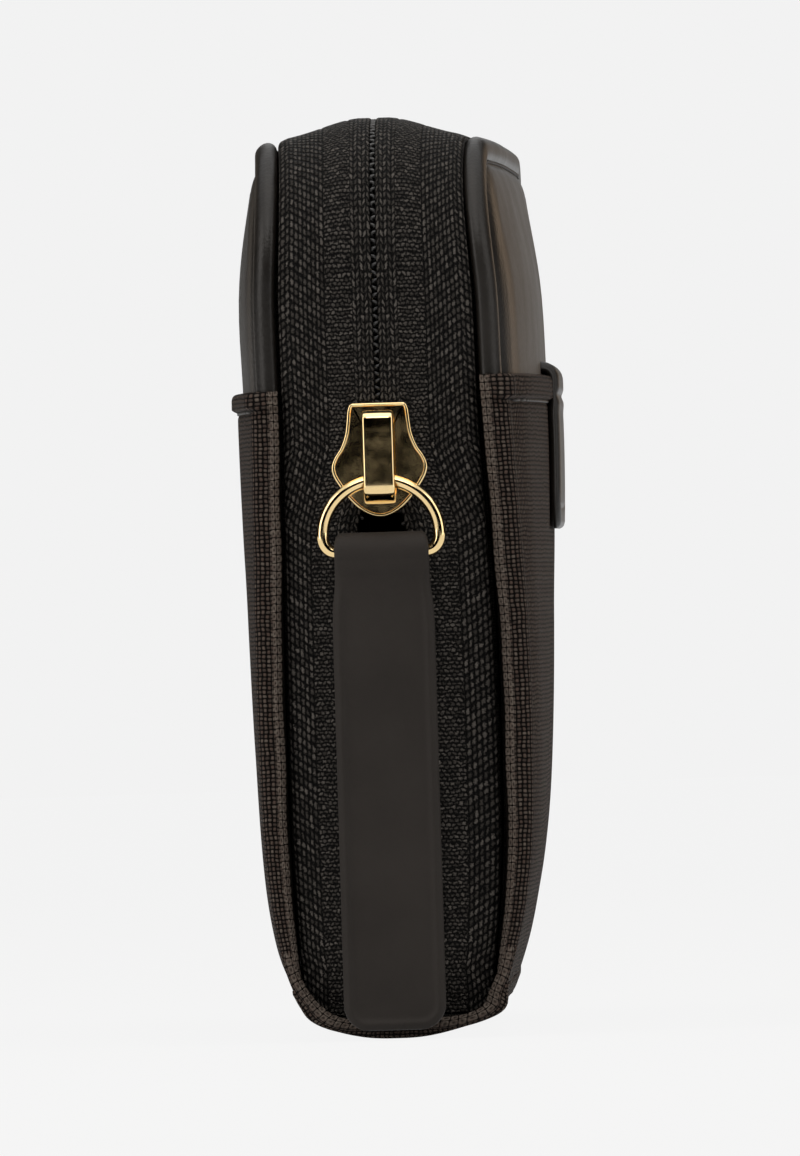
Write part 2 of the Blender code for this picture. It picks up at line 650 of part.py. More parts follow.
def chain_gap(distance, open_gap, travel_gap, closed_gap):
    """Half the gap between the zip's halves: open below the slider, parted along its travel."""
    at = chain_breaks()
    stops = (
        (0.0, open_gap), (at["wide"], open_gap), (at["narrow"], travel_gap), (at["leg"], travel_gap),
        (at["meshed"], closed_gap), (at["parting"], closed_gap), (at["far_stop"], travel_gap),
        (at["below_stop"], travel_gap), (at["end"], open_gap),
    )
    return between(distance, stops)


def tape_stations():
    """Distances along the zip path at which the tape has a section."""
    quarter = zip_path_lengths()[1]
    at = chain_breaks()
    stations = [0.0, at["wide"], at["narrow"], at["leg"]]
    corner_steps = 6
    top_shares = (0.25, 0.5, 0.75, 1.0)
    stations += [at["leg"] + quarter * step / corner_steps for step in range(1, corner_steps + 1)]
    after = at["leg"] + quarter
    stations += [after + 2 * CORNER_Y * share for share in top_shares]
    after += 2 * CORNER_Y
    stations += [after + quarter * step / corner_steps for step in range(1, corner_steps + 1)]
    return stations + [at["parting"], at["far_stop"], at["below_stop"], at["end"]]


def swept_point(side, distance, x, height):
    """Place of a zip point x from the middle plane and height above the path, bowed with the cover."""
    y, z, out_y, out_z = zip_path(distance)
    share = min(x / TAPE_MARGIN_X, 1.0)
    return side * (x + share * bow(y, z)), y + out_y * height, z + out_z * height


def tape_section(gap):
    """Tape section (x, height): flat by the chain, sloping to the cover, then a margin sewn inside."""
    slope = TAPE_MARGIN_X - TAPE_FLAT_X
    outer, inner = [
        [(TAPE_FLAT_X + across * slope, up * HUMP_HEIGHT) for across, up in shares]
        for shares in (TAPE_OUTER_SHARES, TAPE_INNER_SHARES)
    ]
    return [
        (gap, TAPE_OUTER_N), *outer, (TAPE_MARGIN_X, -TAPE_MARGIN_DEPTH),
        (TAPE_MARGIN_X - TAPE_THICKNESS, -TAPE_MARGIN_DEPTH), *inner[::-1],
        (TAPE_FLAT_X, TAPE_INNER_N), (gap, TAPE_INNER_N),
    ]


def zip_tape(name, side, finish, pivot):
    sections = []
    for distance in tape_stations():
        gap = chain_gap(distance, TAPE_OPEN_GAP, TAPE_TRAVEL_GAP, TAPE_CLOSED_GAP)
        sections.append([swept_point(side, distance, x, height) for x, height in tape_section(gap)])
    return loft(name, sections, finish, pivot)


def zip_coil(name, side, finish, pivot):
    """Coil of one half, as a strip whose inner edge runs in and out once for each tooth."""
    whole = zip_path_lengths()[2]
    start = NEAR_STOP_TOP_Z + CLEARANCE - TAPE_BOTTOM_Z
    end = whole - (FAR_STOP_TOP_Z + CLEARANCE - TAPE_BOTTOM_Z)
    teeth = round((end - start) / COIL_PITCH)
    sections = []
    for step in range(2 * teeth + 1):
        distance = start + (end - start) * step / (2 * teeth)
        gap = chain_gap(distance, COIL_OPEN_GAP, COIL_TRAVEL_GAP, COIL_CLOSED_GAP)
        inner_x = gap + COIL_TOOTH_DEPTH * (step % 2)
        outer_x = gap + COIL_WIDTH
        section = (
            (inner_x, COIL_OUTER_N), (outer_x, COIL_OUTER_N), (outer_x, COIL_INNER_N), (inner_x, COIL_INNER_N)
        )
        sections.append([swept_point(side, distance, x, height) for x, height in section])
    return loft(name, sections, finish, pivot)


def zip_stop(name, side, y_side, top_z, gap, finish, pivot):
    """U-shaped metal stop clamped over the tape's edge."""
    inner_gap = STOP_CLEARANCE
    outer = STOP_CLEARANCE + STOP_THICKNESS
    edge_x, reach_x = gap - inner_gap, gap + STOP_REACH
    outline = [
        (reach_x, TAPE_OUTER_N + inner_gap), (edge_x, TAPE_OUTER_N + inner_gap),
        (edge_x, TAPE_INNER_N - inner_gap), (reach_x, TAPE_INNER_N - inner_gap),
        (reach_x, TAPE_INNER_N - outer), (gap - outer, TAPE_INNER_N - outer),
        (gap - outer, TAPE_OUTER_N + outer), (reach_x, TAPE_OUTER_N + outer),
    ]
    return prism(
        name, outline, lambda a, b, depth: (side * a, y_side * (HALF_LENGTH + b), depth),
        top_z - STOP_LENGTH, top_z, finish, pivot,
    )


def spine_profile(inset):
    """Half profile (x, z) of the spine's underside, from the middle out, moved in by inset."""
    flat, wide, side_z = SPINE_FLAT_HALF_WIDTH, SPINE_HALF_WIDTH, SPINE_SIDE_Z
    shares = ((0.0, 0.0), (0.29, 0.20), (0.57, 0.45), (0.83, 0.71))
    half = [(flat + share_x * (wide - flat), share_z * side_z + inset) for share_x, share_z in shares]
    return half + [(wide - inset, side_z)]


def spine_cloth(finish):
    """Cloth under the spine, turned up over both of its ends."""
    right = spine_profile(0.0)
    inner = spine_profile(SPINE_CLOTH_THICKNESS)
    left = [(-x, z) for x, z in reversed(right)]
    outline = left + right + inner[::-1] + [(-x, z) for x, z in inner]
    half = SPINE_LENGTH / 2
    sheet = prism("spine_cloth", outline, lambda a, b, depth: (a, depth, b), -half, half, finish)
    end_shape = left + right + [(SPINE_END_HALF_WIDTH, SPINE_END_Z), (-SPINE_END_HALF_WIDTH, SPINE_END_Z)]
    for y_side in (-1, 1):
        inner_y, outer_y = half - OVERRUN, half + SPINE_END_THICKNESS
        end = prism(
            "spine_end", end_shape, lambda a, b, depth, y_side=y_side: (a, y_side * depth, b),
            inner_y, outer_y, finish,
        )
        combine(sheet, end, "UNION")
    return sheet


def slab(name, half_x, half_y, low_z, high_z, finish):
    outline = [(-half_x, -half_y), (half_x, -half_y), (half_x, half_y), (-half_x, half_y)]
    return prism(name, outline, lambda a, b, depth: (a, b, depth), low_z, high_z, finish)


def page_panel(name, side, finish):
    half = PAGE_LENGTH / 2
    shape = rounded_rectangle(-half, half, PAGE_BOTTOM_Z, PAGE_TOP_Z, PAGE_FOOT_RADIUS, PAGE_CORNER_RADIUS)
    return prism(
        name, shape, lambda a, b, depth: (side * depth, a, b), PAGE_INNER_X, PAGE_OUTER_X, finish
    )


def coin_gusset(name, y_side, finish):
    """Side of the coin pocket, folded inwards between its two panels."""
    outer_y = PAGE_LENGTH / 2 - CLEARANCE
    fold_y = outer_y - GUSSET_FOLD_DEPTH
    half, thick = GUSSET_HALF_WIDTH, GUSSET_THICKNESS
    outline = [
        (-half, outer_y), (-half, outer_y - thick), (0.0, fold_y - thick), (half, outer_y - thick),
        (half, outer_y), (0.0, fold_y + thick),
    ]
    top_z = PAGE_TOP_Z - COIN_TAPE_DEPTH - CLEARANCE
    return prism(
        name, outline, lambda a, b, depth: (a, y_side * b, depth), PAGE_BOTTOM_Z, top_z, finish
    )


def coin_zip_tape(name, side, finish):
    """Half of the coin zip's tape: flat across the mouth, then down inside the panel."""
    top, thick = PAGE_TOP_Z, COIN_TAPE_THICKNESS
    outer_x = PAGE_INNER_X - CLEARANCE
    low_z = top - COIN_TAPE_DEPTH
    outline = [
        (COIN_TAPE_GAP, top), (outer_x, top), (outer_x, low_z), (outer_x - thick, low_z),
        (outer_x - thick, top - thick), (COIN_TAPE_GAP, top - thick),
    ]
    half = COIN_TAPE_LENGTH / 2
    return prism(name, outline, lambda a, b, depth: (side * a, depth, b), -half, half, finish)


def coin_zip_coil(name, side, finish):
    teeth = round(COIN_COIL_LENGTH / COIN_COIL_PITCH)
    low_z, high_z = COIN_COIL_Z, COIN_COIL_Z + COIN_COIL_THICKNESS
    sections = []
    for step in range(2 * teeth + 1):
        y = COIN_COIL_LENGTH * (step / (2 * teeth) - 0.5)
        inner_x = COIN_COIL_GAP + COIN_COIL_TOOTH_DEPTH * (step % 2)
        outer_x = COIN_COIL_GAP + COIN_COIL_WIDTH
        corners = ((inner_x, high_z), (outer_x, high_z), (outer_x, low_z), (inner_x, low_z))
        sections.append([(side * x, y, z) for x, z in corners])
    return loft(name, sections, finish)


def coin_zip_stop(name, y_side, finish):
    near = COIN_COIL_LENGTH / 2 + CLEARANCE
    half = COIN_STOP_HALF_WIDTH
    outline = [(-half, near), (half, near), (half, near + COIN_STOP_LENGTH), (-half, near + COIN_STOP_LENGTH)]
    low_z = PAGE_TOP_Z + STOP_CLEARANCE
    return prism(
        name, outline, lambda a, b, depth: (a, y_side * b, depth), low_z, low_z + COIN_STOP_HEIGHT, finish
    )


def slider_shape(shares, length, half_width):
    """Closed outline (across, along) of a slider plate from its shares."""
    one_side = [(width * half_width, along * length) for along, width in shares]
    return one_side + [(-across, along) for across, along in reversed(one_side)]


def slider_body(name, place, sizes, finish, pivot):
    """Two plates joined by a wedge-shaped post; place turns (across, along, height) into a point."""
    length, half_width, lower_half_width, post_half_width, levels, edge = sizes
    lower_inner, lower_outer, upper_inner, upper_outer = levels
    upper = prism(
        name, slider_shape(SLIDER_OUTLINE_SHARES, length, half_width), place,
        upper_inner, upper_outer, finish, pivot,
    )
    bevel(upper, edge)
    lower = prism(
        name + "_lower", slider_shape(SLIDER_OUTLINE_SHARES, length, lower_half_width), place,
        lower_inner, lower_outer, finish,
    )
    bevel(lower, edge)
    post = prism(
        name + "_post", slider_shape(POST_OUTLINE_SHARES, length, post_half_width), place,
        lower_outer - edge, upper_inner + edge, finish,
    )
    combine(upper, post, "UNION")
    combine(upper, lower, "UNION")
    return upper


def main_slider_place(across, along, height):
    return across, -HALF_LENGTH - height, SLIDER_TOP_Z - along


def coin_slider_place(across, along, height):
    return across, COIN_SLIDER_Y + COIN_SLIDER_LENGTH / 2 - along, height


def strap_outline(near, far, foot, inner, thickness):
    """Outline (along, height) of a slider's crown: a strap with a leg down at either end."""
    outer = inner + thickness
    leg = thickness * STRAP_LEG_SHARE
    slope = thickness * STRAP_SLOPE_SHARE
    corner = thickness * STRAP_CORNER_SHARE
    return [
        (near, foot), (near, outer - corner), (near + corner, outer),
        (far - slope, outer), (far, inner - thickness / 2), (far, foot),
        (far - leg * 2, foot), (far - leg * 2, inner), (near + leg, inner), (near + leg, foot),
    ]


def slider_cap(finish, pivot):
    near, far = [share * SLIDER_LENGTH for share in CROWN_LEG_SHARES]
    foot = TOP_PLATE_OUTER_N + CLEARANCE
    outline = strap_outline(near, far, foot, STRAP_INNER_N, CROWN_STRAP_THICKNESS)
    half = CROWN_STRAP_HALF_WIDTH
    cap = prism(
        "slider_cap", outline, lambda a, b, depth: main_slider_place(depth, a, b), -half, half, finish, pivot
    )
    bevel(cap, CROWN_STRAP_BEVEL)
    return cap


def slider_lock_spring(finish, pivot):
    """Leaf under the crown that presses the locking point into the coil."""
    near = SLIDER_LENGTH * CROWN_LEG_SHARES[0] + CROWN_STRAP_THICKNESS * STRAP_LEG_SHARE + CLEARANCE
    far = near + LOCK_SPRING_LENGTH
    low, high = LOCK_SPRING_N, LOCK_SPRING_N + LOCK_SPRING_THICKNESS
    foot = TOP_PLATE_OUTER_N + CLEARANCE
    bend = LOCK_SPRING_THICKNESS
    outline = [(near, foot), (near, high), (far, high), (far, low), (near + bend, low), (near + bend, foot)]
    half = LOCK_SPRING_HALF_WIDTH
    return prism(
        "slider_lock_spring", outline, lambda a, b, depth: main_slider_place(depth, a, b),
        -half, half, finish, pivot,
    )


def ring_points():
    """Centre line of the ring: a round top, drawn in to a straight bar at the bottom."""
    wide, bend_z, bar = RING_HALF_WIDTH, RING_BEND_Z, RING_BAR_HALF_LENGTH
    height = RING_PIVOT_Z - bend_z
    half = []
    for degrees in range(0, 91, 15):
        angle = math.radians(degrees)
        half.append((wide * math.sin(angle), bend_z + height * math.cos(angle)))
    drop = bend_z - RING_BAR_Z
    half += [(bar + out * (wide - bar), bend_z - down * drop) for out, down in RING_CORNER_SHARES]
    half.append((bar, RING_BAR_Z))
    return half + [(-x, z) for x, z in reversed(half[1:])]


def pull_ring(finish, pivot):
    curve = bpy.data.curves.new("pull_ring", "CURVE")
    curve.dimensions = "3D"
    curve.bevel_depth = RING_WIRE_RADIUS
    curve.bevel_resolution = 2
    points = ring_points()
    line = curve.splines.new("POLY")
    line.points.add(len(points) - 1)
    for point, (x, z) in zip(line.points, points):
        point.co = (x - pivot[0], RING_Y - pivot[1], z - pivot[2], 1.0)
    line.use_cyclic_u = True
    line.use_smooth = True
    curve.materials.append(finish)
    ring = bpy.data.objects.new("pull_ring", curve)
    ring.location = pivot
    bpy.context.scene.collection.objects.link(ring)
    return ring


def tab_profile():
    """Side outline (height, z) of the folded tab with the loop round the ring's bar."""
    loop_radius = RING_WIRE_RADIUS + TAB_BORE_CLEARANCE + TAB_LEATHER
    half = TAB_THICKNESS / 2
    neck = math.asin(half / loop_radius)
    outline = [(RING_N - half, TAB_BOTTOM_Z), (RING_N - half, RING_BAR_Z - TAB_NECK_DROP)]
    steps = 12
    start, sweep = -math.pi / 2 - neck, -(2 * math.pi - 2 * neck)
    for step in range(steps + 1):
        angle = start + sweep * step / steps
        outline.append((RING_N + loop_radius * math.cos(angle), RING_BAR_Z + loop_radius * math.sin(angle)))
    outline += [(RING_N + half, RING_BAR_Z - TAB_NECK_DROP), (RING_N + half, TAB_BOTTOM_Z)]
    return outline


def tab_front_outline(reach_z):
    """Front outline (x, z) of the tab, wider below its flare, with rounded bottom corners."""
    wide, narrow, radius = TAB_WIDTH / 2, TAB_TOP_WIDTH / 2, TAB_CORNER_RADIUS
    turn_x, turn_z = wide - radius, TAB_BOTTOM_Z + radius
    half = []
    for degrees in (0, 30, 60, 90):
        angle = math.radians(degrees)
        half.append((turn_x + radius * math.sin(angle), turn_z - radius * math.cos(angle)))
    half += [(wide, TAB_FLARE_END_Z), (narrow, TAB_FLARE_START_Z), (narrow, reach_z)]
    return half + [(-x, z) for x, z in reversed(half)]


def pull_tab(finish, pivot):
    """Leather strap folded round the ring's bar, its two layers joined below."""
    half = TAB_WIDTH / 2
    across = half + OVERRUN
    tab = prism(
        "pull_tab", tab_profile(), lambda a, b, depth: (depth, -HALF_LENGTH - a, b), -across, across,
        finish, pivot,
    )
    reach = RING_WIRE_RADIUS + TAB_LEATHER + TAB_THICKNESS
    front = prism(
        "pull_tab_outline", tab_front_outline(RING_BAR_Z + reach),
        lambda a, b, depth: (a, -HALF_LENGTH - depth, b), RING_N - reach, RING_N + reach, finish,
    )
    combine(tab, front, "INTERSECT")
    bore_radius = RING_WIRE_RADIUS + TAB_BORE_CLEARANCE
    steps = 12
    bore_outline = []
    for step in range(steps):
        angle = 2 * math.pi * step / steps
        radius = bore_radius / math.cos(math.pi / steps)
        bore_outline.append((RING_N + radius * math.cos(angle), RING_BAR_Z + radius * math.sin(angle)))
    bore = prism(
        "pull_tab_bore", bore_outline, lambda a, b, depth: (depth, -HALF_LENGTH - a, b),
        -across - half, across + half, finish,
    )
    combine(tab, bore, "DIFFERENCE")
    return tab


def coin_slider_cap(finish, pivot):
    near, far = [share * COIN_SLIDER_LENGTH for share in COIN_CROWN_LEG_SHARES]
    inner = COIN_CAP_Z + PULLER_WIRE + CLEARANCE
    outline = strap_outline(near, far, COIN_CAP_Z, inner, COIN_STRAP_THICKNESS)
    half = COIN_STRAP_HALF_WIDTH
    return prism(
        "coin_slider_cap", outline, lambda a, b, depth: coin_slider_place(depth, a, b),
        -half, half, finish, pivot,
    )


def coin_puller(finish, pivot):
    """Small metal puller with a long eye round the coin slider's crown."""
    half, bar = PULLER_HALF_WIDTH, PULLER_WIRE
    start_y = pivot[1] - bar / 2
    end_y = start_y + PULLER_LENGTH
    shape = rounded_rectangle(-half, half, start_y, end_y, PULLER_FOOT_RADIUS, PULLER_END_RADIUS)
    low_z, high_z = PULLER_Z - bar / 2, PULLER_Z + bar / 2
    puller = prism("coin_puller", shape, lambda a, b, depth: (a, b, depth), low_z, high_z, finish, pivot)
    eye, radius = PULLER_EYE_HALF_WIDTH, PULLER_EYE_RADIUS
    eye_y = start_y + bar
    eye_shape = rounded_rectangle(-eye, eye, eye_y, eye_y + PULLER_EYE_LENGTH, radius, radius)
    cutter = prism(
        "coin_puller_eye", eye_shape, lambda a, b, depth: (a, b, depth), low_z - bar, high_z + bar, finish
    )
    combine(puller, cutter, "DIFFERENCE")
    bevel(puller, PULLER_EDGE_BEVEL, 1)
    return puller


def build_cover(prefix, side, hem_top_z, hem_height, finishes, pivot):
    leather_panel(prefix + "_leather", side, finishes["leather"], pivot)
    pocket_cloth(prefix + "_pocket_cloth", side, hem_top_z, hem_height, finishes["cloth"], pivot)
    cover_board(prefix + "_board", side, finishes["board"], pivot)
    cover_foam(prefix + "_foam", side, finishes["foam"], pivot)
    cover_lining(prefix + "_lining", side, finishes["lining"], pivot)
    bill_panel(prefix + "_bill_panel", side, finishes["lining"], pivot)
    for index in range(SLOT_COUNT):
        card_slot(f"{prefix}_card_slot_{index + 1}", side, index, finishes["inner_leather"], pivot)
    zip_tape(prefix + "_zip_tape", side, finishes["tape"], pivot)
    zip_coil(prefix + "_zip_coil", side, finishes["coil"], pivot)
    ends = (("near", -1, NEAR_STOP_TOP_Z, TAPE_OPEN_GAP), ("far", 1, FAR_STOP_TOP_Z, TAPE_TRAVEL_GAP))
    for end, y_side, top_z, gap in ends:
        zip_stop(f"{prefix}_zip_stop_{end}", side, y_side, top_z, gap, finishes["metal"], pivot)


def build_slider(finishes):
    body_origin = main_slider_place(0.0, 0.0, TOP_PLATE_OUTER_N)
    levels = (BOTTOM_PLATE_INNER_N, BOTTOM_PLATE_OUTER_N, TOP_PLATE_INNER_N, TOP_PLATE_OUTER_N)
    sizes = (SLIDER_LENGTH, SLIDER_HALF_WIDTH, SLIDER_HALF_WIDTH, POST_HALF_WIDTH, levels, PLATE_BEVEL)
    slider_body("slider_body", main_slider_place, sizes, finishes["metal"], body_origin)
    slider_cap(finishes["metal"], body_origin)
    slider_lock_spring(finishes["steel"], body_origin)
    pull_ring(finishes["metal"], (0.0, RING_Y, RING_PIVOT_Z))
    pull_tab(finishes["tab"], (0.0, RING_Y, RING_BAR_Z))


def build_coin_pocket(finishes):
    for prefix, side in (("front", 1), ("back", -1)):
        page_panel(f"coin_pocket_{prefix}_panel", side, finishes["lining"])
        coin_zip_tape(f"coin_zip_tape_{prefix}", side, finishes["tape"])
        coin_zip_coil(f"coin_zip_coil_{prefix}", side, finishes["coil"])
    for prefix, y_side in (("near", -1), ("far", 1)):
        coin_gusset(f"coin_gusset_{prefix}", y_side, finishes["lining"])
        coin_zip_stop(f"coin_zip_stop_{prefix}", y_side, finishes["metal"])
    origin = coin_slider_place(0.0, COIN_SLIDER_LENGTH / 2, COIN_CAP_Z)
    levels = (
        COIN_BOTTOM_PLATE_Z, COIN_BOTTOM_PLATE_Z + COIN_PLATE_THICKNESS,
        COIN_TOP_PLATE_Z, COIN_TOP_PLATE_Z + COIN_PLATE_THICKNESS,
    )
    sizes = (
        COIN_SLIDER_LENGTH, COIN_SLIDER_HALF_WIDTH, COIN_BOTTOM_PLATE_HALF_WIDTH, COIN_POST_HALF_WIDTH,
        levels, COIN_PLATE_BEVEL,
    )
    slider_body("coin_slider_body", coin_slider_place, sizes, finishes["metal"], origin)
    coin_slider_cap(finishes["metal"], origin)
    coin_puller(finishes["metal"], (0.0, COIN_SLIDER_Y, PULLER_Z))


def build_spine(finishes):
    spine_cloth(finishes["cloth"])
    half = SPINE_LENGTH / 2 - CLEARANCE
    slab(
        "spine_board", SPINE_BOARD_HALF_WIDTH, half, SPINE_BOARD_Z, SPINE_BOARD_Z + SPINE_BOARD_THICKNESS,
        finishes["board"],
    )
    slab(
        "spine_lining", SPINE_LINING_HALF_WIDTH, half, SPINE_LINING_Z,
        SPINE_LINING_Z + SPINE_LINING_THICKNESS, finishes["lining"],
    )


def main():
    clear_scene()
    finishes = {
        "leather": material("smooth leather", (0.045, 0.042, 0.040), 0.42),
        "cloth": material("coarse cloth", (0.045, 0.038, 0.036), 0.85),
        "inner_leather": material("inner leather", (0.040, 0.038, 0.037), 0.50),
        "lining": material("lining cloth", (0.030, 0.030, 0.032), 0.80),
        "board": material("stiffening board", (0.35, 0.30, 0.24), 0.90),
        "foam": material("padding foam", (0.20, 0.20, 0.21), 0.95),
        "tape": material("zip tape", (0.028, 0.028, 0.028), 0.80),
        "coil": material("nylon coil", (0.020, 0.020, 0.020), 0.45),
        "metal": material("gold plated metal", (0.83, 0.68, 0.42), 0.16, 1.0),
        "steel": material("spring steel", (0.55, 0.55, 0.56), 0.30, 1.0),
        "tab": material("matte leather", (0.035, 0.034, 0.032), 0.60),
    }
    build_spine(finishes)
    build_coin_pocket(finishes)
    front_fold = (FOLD_X, 0.0, FOLD_Z)
    back_fold = (-FOLD_X, 0.0, FOLD_Z)
    build_cover("front", 1, FRONT_HEM_TOP_Z, FRONT_HEM_HEIGHT, finishes, front_fold)
    build_cover("back", -1, BACK_HEM_TOP_Z, BACK_HEM_HEIGHT, finishes, back_fold)
    front_patch("front_patch", finishes["leather"], front_fold)
    build_slider(finishes)


main()
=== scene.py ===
"""Looks of the zip-around wallet: finishes, cloth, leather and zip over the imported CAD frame.

Sizes are in metres, in the row frame: X through the thickness, Y along the length with the slider
at the -Y end, Z up from the spine. Each mesh carries its yarn coordinates in millimetres.
"""

import math

import bmesh
import bpy
import numpy as np
from mathutils import Matrix, Vector


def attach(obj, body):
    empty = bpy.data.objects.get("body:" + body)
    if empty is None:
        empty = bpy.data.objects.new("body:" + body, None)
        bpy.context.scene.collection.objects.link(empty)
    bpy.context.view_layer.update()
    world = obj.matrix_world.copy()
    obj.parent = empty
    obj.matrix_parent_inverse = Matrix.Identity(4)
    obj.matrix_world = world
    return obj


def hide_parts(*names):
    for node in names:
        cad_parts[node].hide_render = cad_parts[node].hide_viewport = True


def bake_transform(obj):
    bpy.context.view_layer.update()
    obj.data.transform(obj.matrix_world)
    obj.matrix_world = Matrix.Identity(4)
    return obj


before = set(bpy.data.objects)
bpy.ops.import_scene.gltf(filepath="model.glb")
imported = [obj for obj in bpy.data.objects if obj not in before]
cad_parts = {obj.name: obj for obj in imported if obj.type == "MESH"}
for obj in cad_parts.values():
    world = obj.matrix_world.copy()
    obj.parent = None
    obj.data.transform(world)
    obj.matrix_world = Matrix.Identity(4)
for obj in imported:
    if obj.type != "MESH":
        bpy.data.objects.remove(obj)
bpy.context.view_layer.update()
scene = bpy.context.scene
scene.view_settings.view_transform = "Standard"

# Sizes shared with the CAD model
CLEARANCE = 0.0003
COVER_LENGTH = 0.1248
HALF_LENGTH = COVER_LENGTH / 2
COVER_TOP_Z = 0.0957
COVER_BOTTOM_Z = 0.0032
CORNER_RADIUS = 0.015
CORNER_Z = COVER_TOP_Z - CORNER_RADIUS
CORNER_Y = HALF_LENGTH - CORNER_RADIUS
EDGE_INNER_X = 0.0098
EDGE_THICKNESS = 0.0021
EDGE_OUTER_X = EDGE_INNER_X + EDGE_THICKNESS
GROOVE_INSET = 0.0027
TAPE_BOTTOM_Z = 0.0057
SLIDER_LENGTH = 0.01215
SLIDER_TOP_Z = 0.0675
SLIDER_HALF_WIDTH = 0.0051
PLATE_INNER_N = 0.0029
PLATE_OUTER_N = 0.0039
RING_N = 0.00482
RING_Y = -HALF_LENGTH - RING_N
RING_PIVOT_Z = 0.0593
RING_BEND_Z = 0.0535
RING_BAR_Z = 0.0517
FRONT_HEM_TOP_Z = 0.0702
BACK_HEM_TOP_Z = 0.0690

SIDES = {"front": 1, "back": -1}


# Shapes of the covers

def ramp(distance, span, power):
    share = np.clip(distance / span, 0.0, 1.0)
    return 1.0 - (1.0 - share) ** power


def smooth_table(stops, width):
    """Smooth curve through stops (z, value) in millimetres, as two arrays in metres."""
    z = np.arange(-10, 110, 0.5)
    value = np.interp(z, *zip(*stops))
    window = np.exp(-0.5 * (np.arange(-24, 25) * 0.5 / width) ** 2)
    value = np.convolve(np.pad(value, 24, mode="edge"), window / window.sum(), "valid")
    return z * 0.001, value * 0.001


# How far each cover's edge stands out at the near end, and how high its padding is
SPLAY = {
    1: smooth_table(((3, 0.3), (8.5, 1.3), (16, 2.2), (21, 2.45), (32, 2.5), (44.5, 2.25), (56, 1.6), (66, 1.0),
                     (73, 0.8), (79, 0.75), (85, 0.1), (91, -0.55), (95, -0.7)), 2.5),
    -1: smooth_table(((3, -0.62), (4.6, -0.5), (6.2, 0.1), (7.5, 0.34), (8.5, 0.42), (16, 0.8), (21, 0.95), (32, 1.05),
                      (44.5, 0.95), (56, 0.75), (66, 0.65), (73, 0.8), (79, 0.85), (85, 0.5), (91, 0.15), (95, 0.0)),
                     1.5),
}
FAR_SPLAY = {
    1: smooth_table(((3, -0.9), (4.6, -0.7), (6.7, -0.4), (8.5, -0.1), (17, 0.3), (30, 0.4), (60, 0.3), (82, 0.6),
                     (88, 1.0), (95, 1.2)), 1.5),
    -1: smooth_table(((3, -0.4), (8.5, -0.3), (17, 0.0), (30, 0.2), (60, 0.3), (85, 0.3), (95, 0.3)), 2.5),
}
PADDING = {
    1: smooth_table(((5, 0.1), (8.2, 0.2), (10.3, 0.45), (12.5, 0.6), (14.6, 0.75), (16.7, 1.05), (21, 1.4), (25.2, 1.6),
                     (29.4, 1.7), (35.8, 1.82), (46.4, 1.97), (52.8, 2.25), (59.2, 2.42), (63.4, 2.47), (69.8, 2.35),
                     (74, 2.31), (78.2, 2.18), (82.5, 2.15), (88.9, 1.9), (92, 1.9)), 1.5),
    -1: smooth_table(((3, -0.2), (4.6, 0.0), (6.1, 0.45), (8.2, 1.2), (10.3, 1.5), (14.6, 1.55), (21, 1.34), (29.4, 1.2),
                      (35.8, 1.34), (42.2, 1.54), (52.8, 1.82), (59.2, 1.85), (66.5, 1.83), (69.8, 1.62), (74, 1.84),
                      (78.2, 1.85), (84.6, 1.88), (88.9, 1.7), (92, 1.6)), 1.5),
}


def splay(side, y, z):
    """Outward lean of a cover's edge: full at the near end, with its own amount at the far end."""
    near = np.clip(-y / HALF_LENGTH, 0, 1.05) ** 1.5
    far = np.clip(y / HALF_LENGTH, 0, 1.05) ** 1.5
    return np.interp(z, *SPLAY[side]) * (0.35 + 0.65 * near - 0.35 * far) + far * np.interp(z, *FAR_SPLAY[side])


def crown(side, y, z):
    """Height of the padding; it starts at the stitched valley behind the rolled edge."""
    inward = HALF_LENGTH - 0.0029 - np.abs(y)
    steep = 0.42 if side > 0 else 0.16
    across = steep * ramp(inward, 0.0070, 2.0) + (1 - steep) * ramp(inward, 0.045, 2.1)
    top = ramp(COVER_TOP_Z - 0.0029 - z, 0.016, 2.0)
    return np.interp(z, *PADDING[side]) * across * top


def bow(y, z):
    along = np.maximum(1.0 - (y / HALF_LENGTH) ** 2, 0.0)
    return 0.0013 * along * ramp(z - 0.010, 0.060, 1.0)


def tuck(z):
    """Share of its thickness that a cover keeps near its foot, where it is pressed into the spine."""
    return 0.12 + 0.88 * (1 - np.exp(-np.maximum(z - 0.003, 0) / 0.0085))


def cover_x(side, flat_x, y, z, crown_share):
    edge = EDGE_INNER_X + (flat_x - EDGE_INNER_X) * tuck(z)
    return edge + crown_share * crown(side, y, z) + bow(y, z) + splay(side, y, z)


def arch(inset, leg_steps, turn_steps, top_steps):
    """Arch outline of a cover at an inset, as arrays (y, z) from the near foot to the far foot."""
    radius = max(CORNER_RADIUS - inset, 0.002)
    centre_y = HALF_LENGTH - inset - radius
    centre_z = COVER_TOP_Z - inset - radius
    points = []
    for share in np.linspace(0, 1, leg_steps + 1):
        points.append((-centre_y - radius, COVER_BOTTOM_Z + share * (centre_z - COVER_BOTTOM_Z)))
    for angle in np.linspace(0, math.pi / 2, turn_steps + 1)[1:]:
        points.append((-centre_y - radius * math.cos(angle), centre_z + radius * math.sin(angle)))
    for share in np.linspace(1, 0, top_steps + 1)[1:]:
        points.append((-centre_y * share, centre_z + radius))
    points += [(-y, z) for y, z in reversed(points[:-1])]
    found = np.array(points)
    return found[:, 0], found[:, 1]


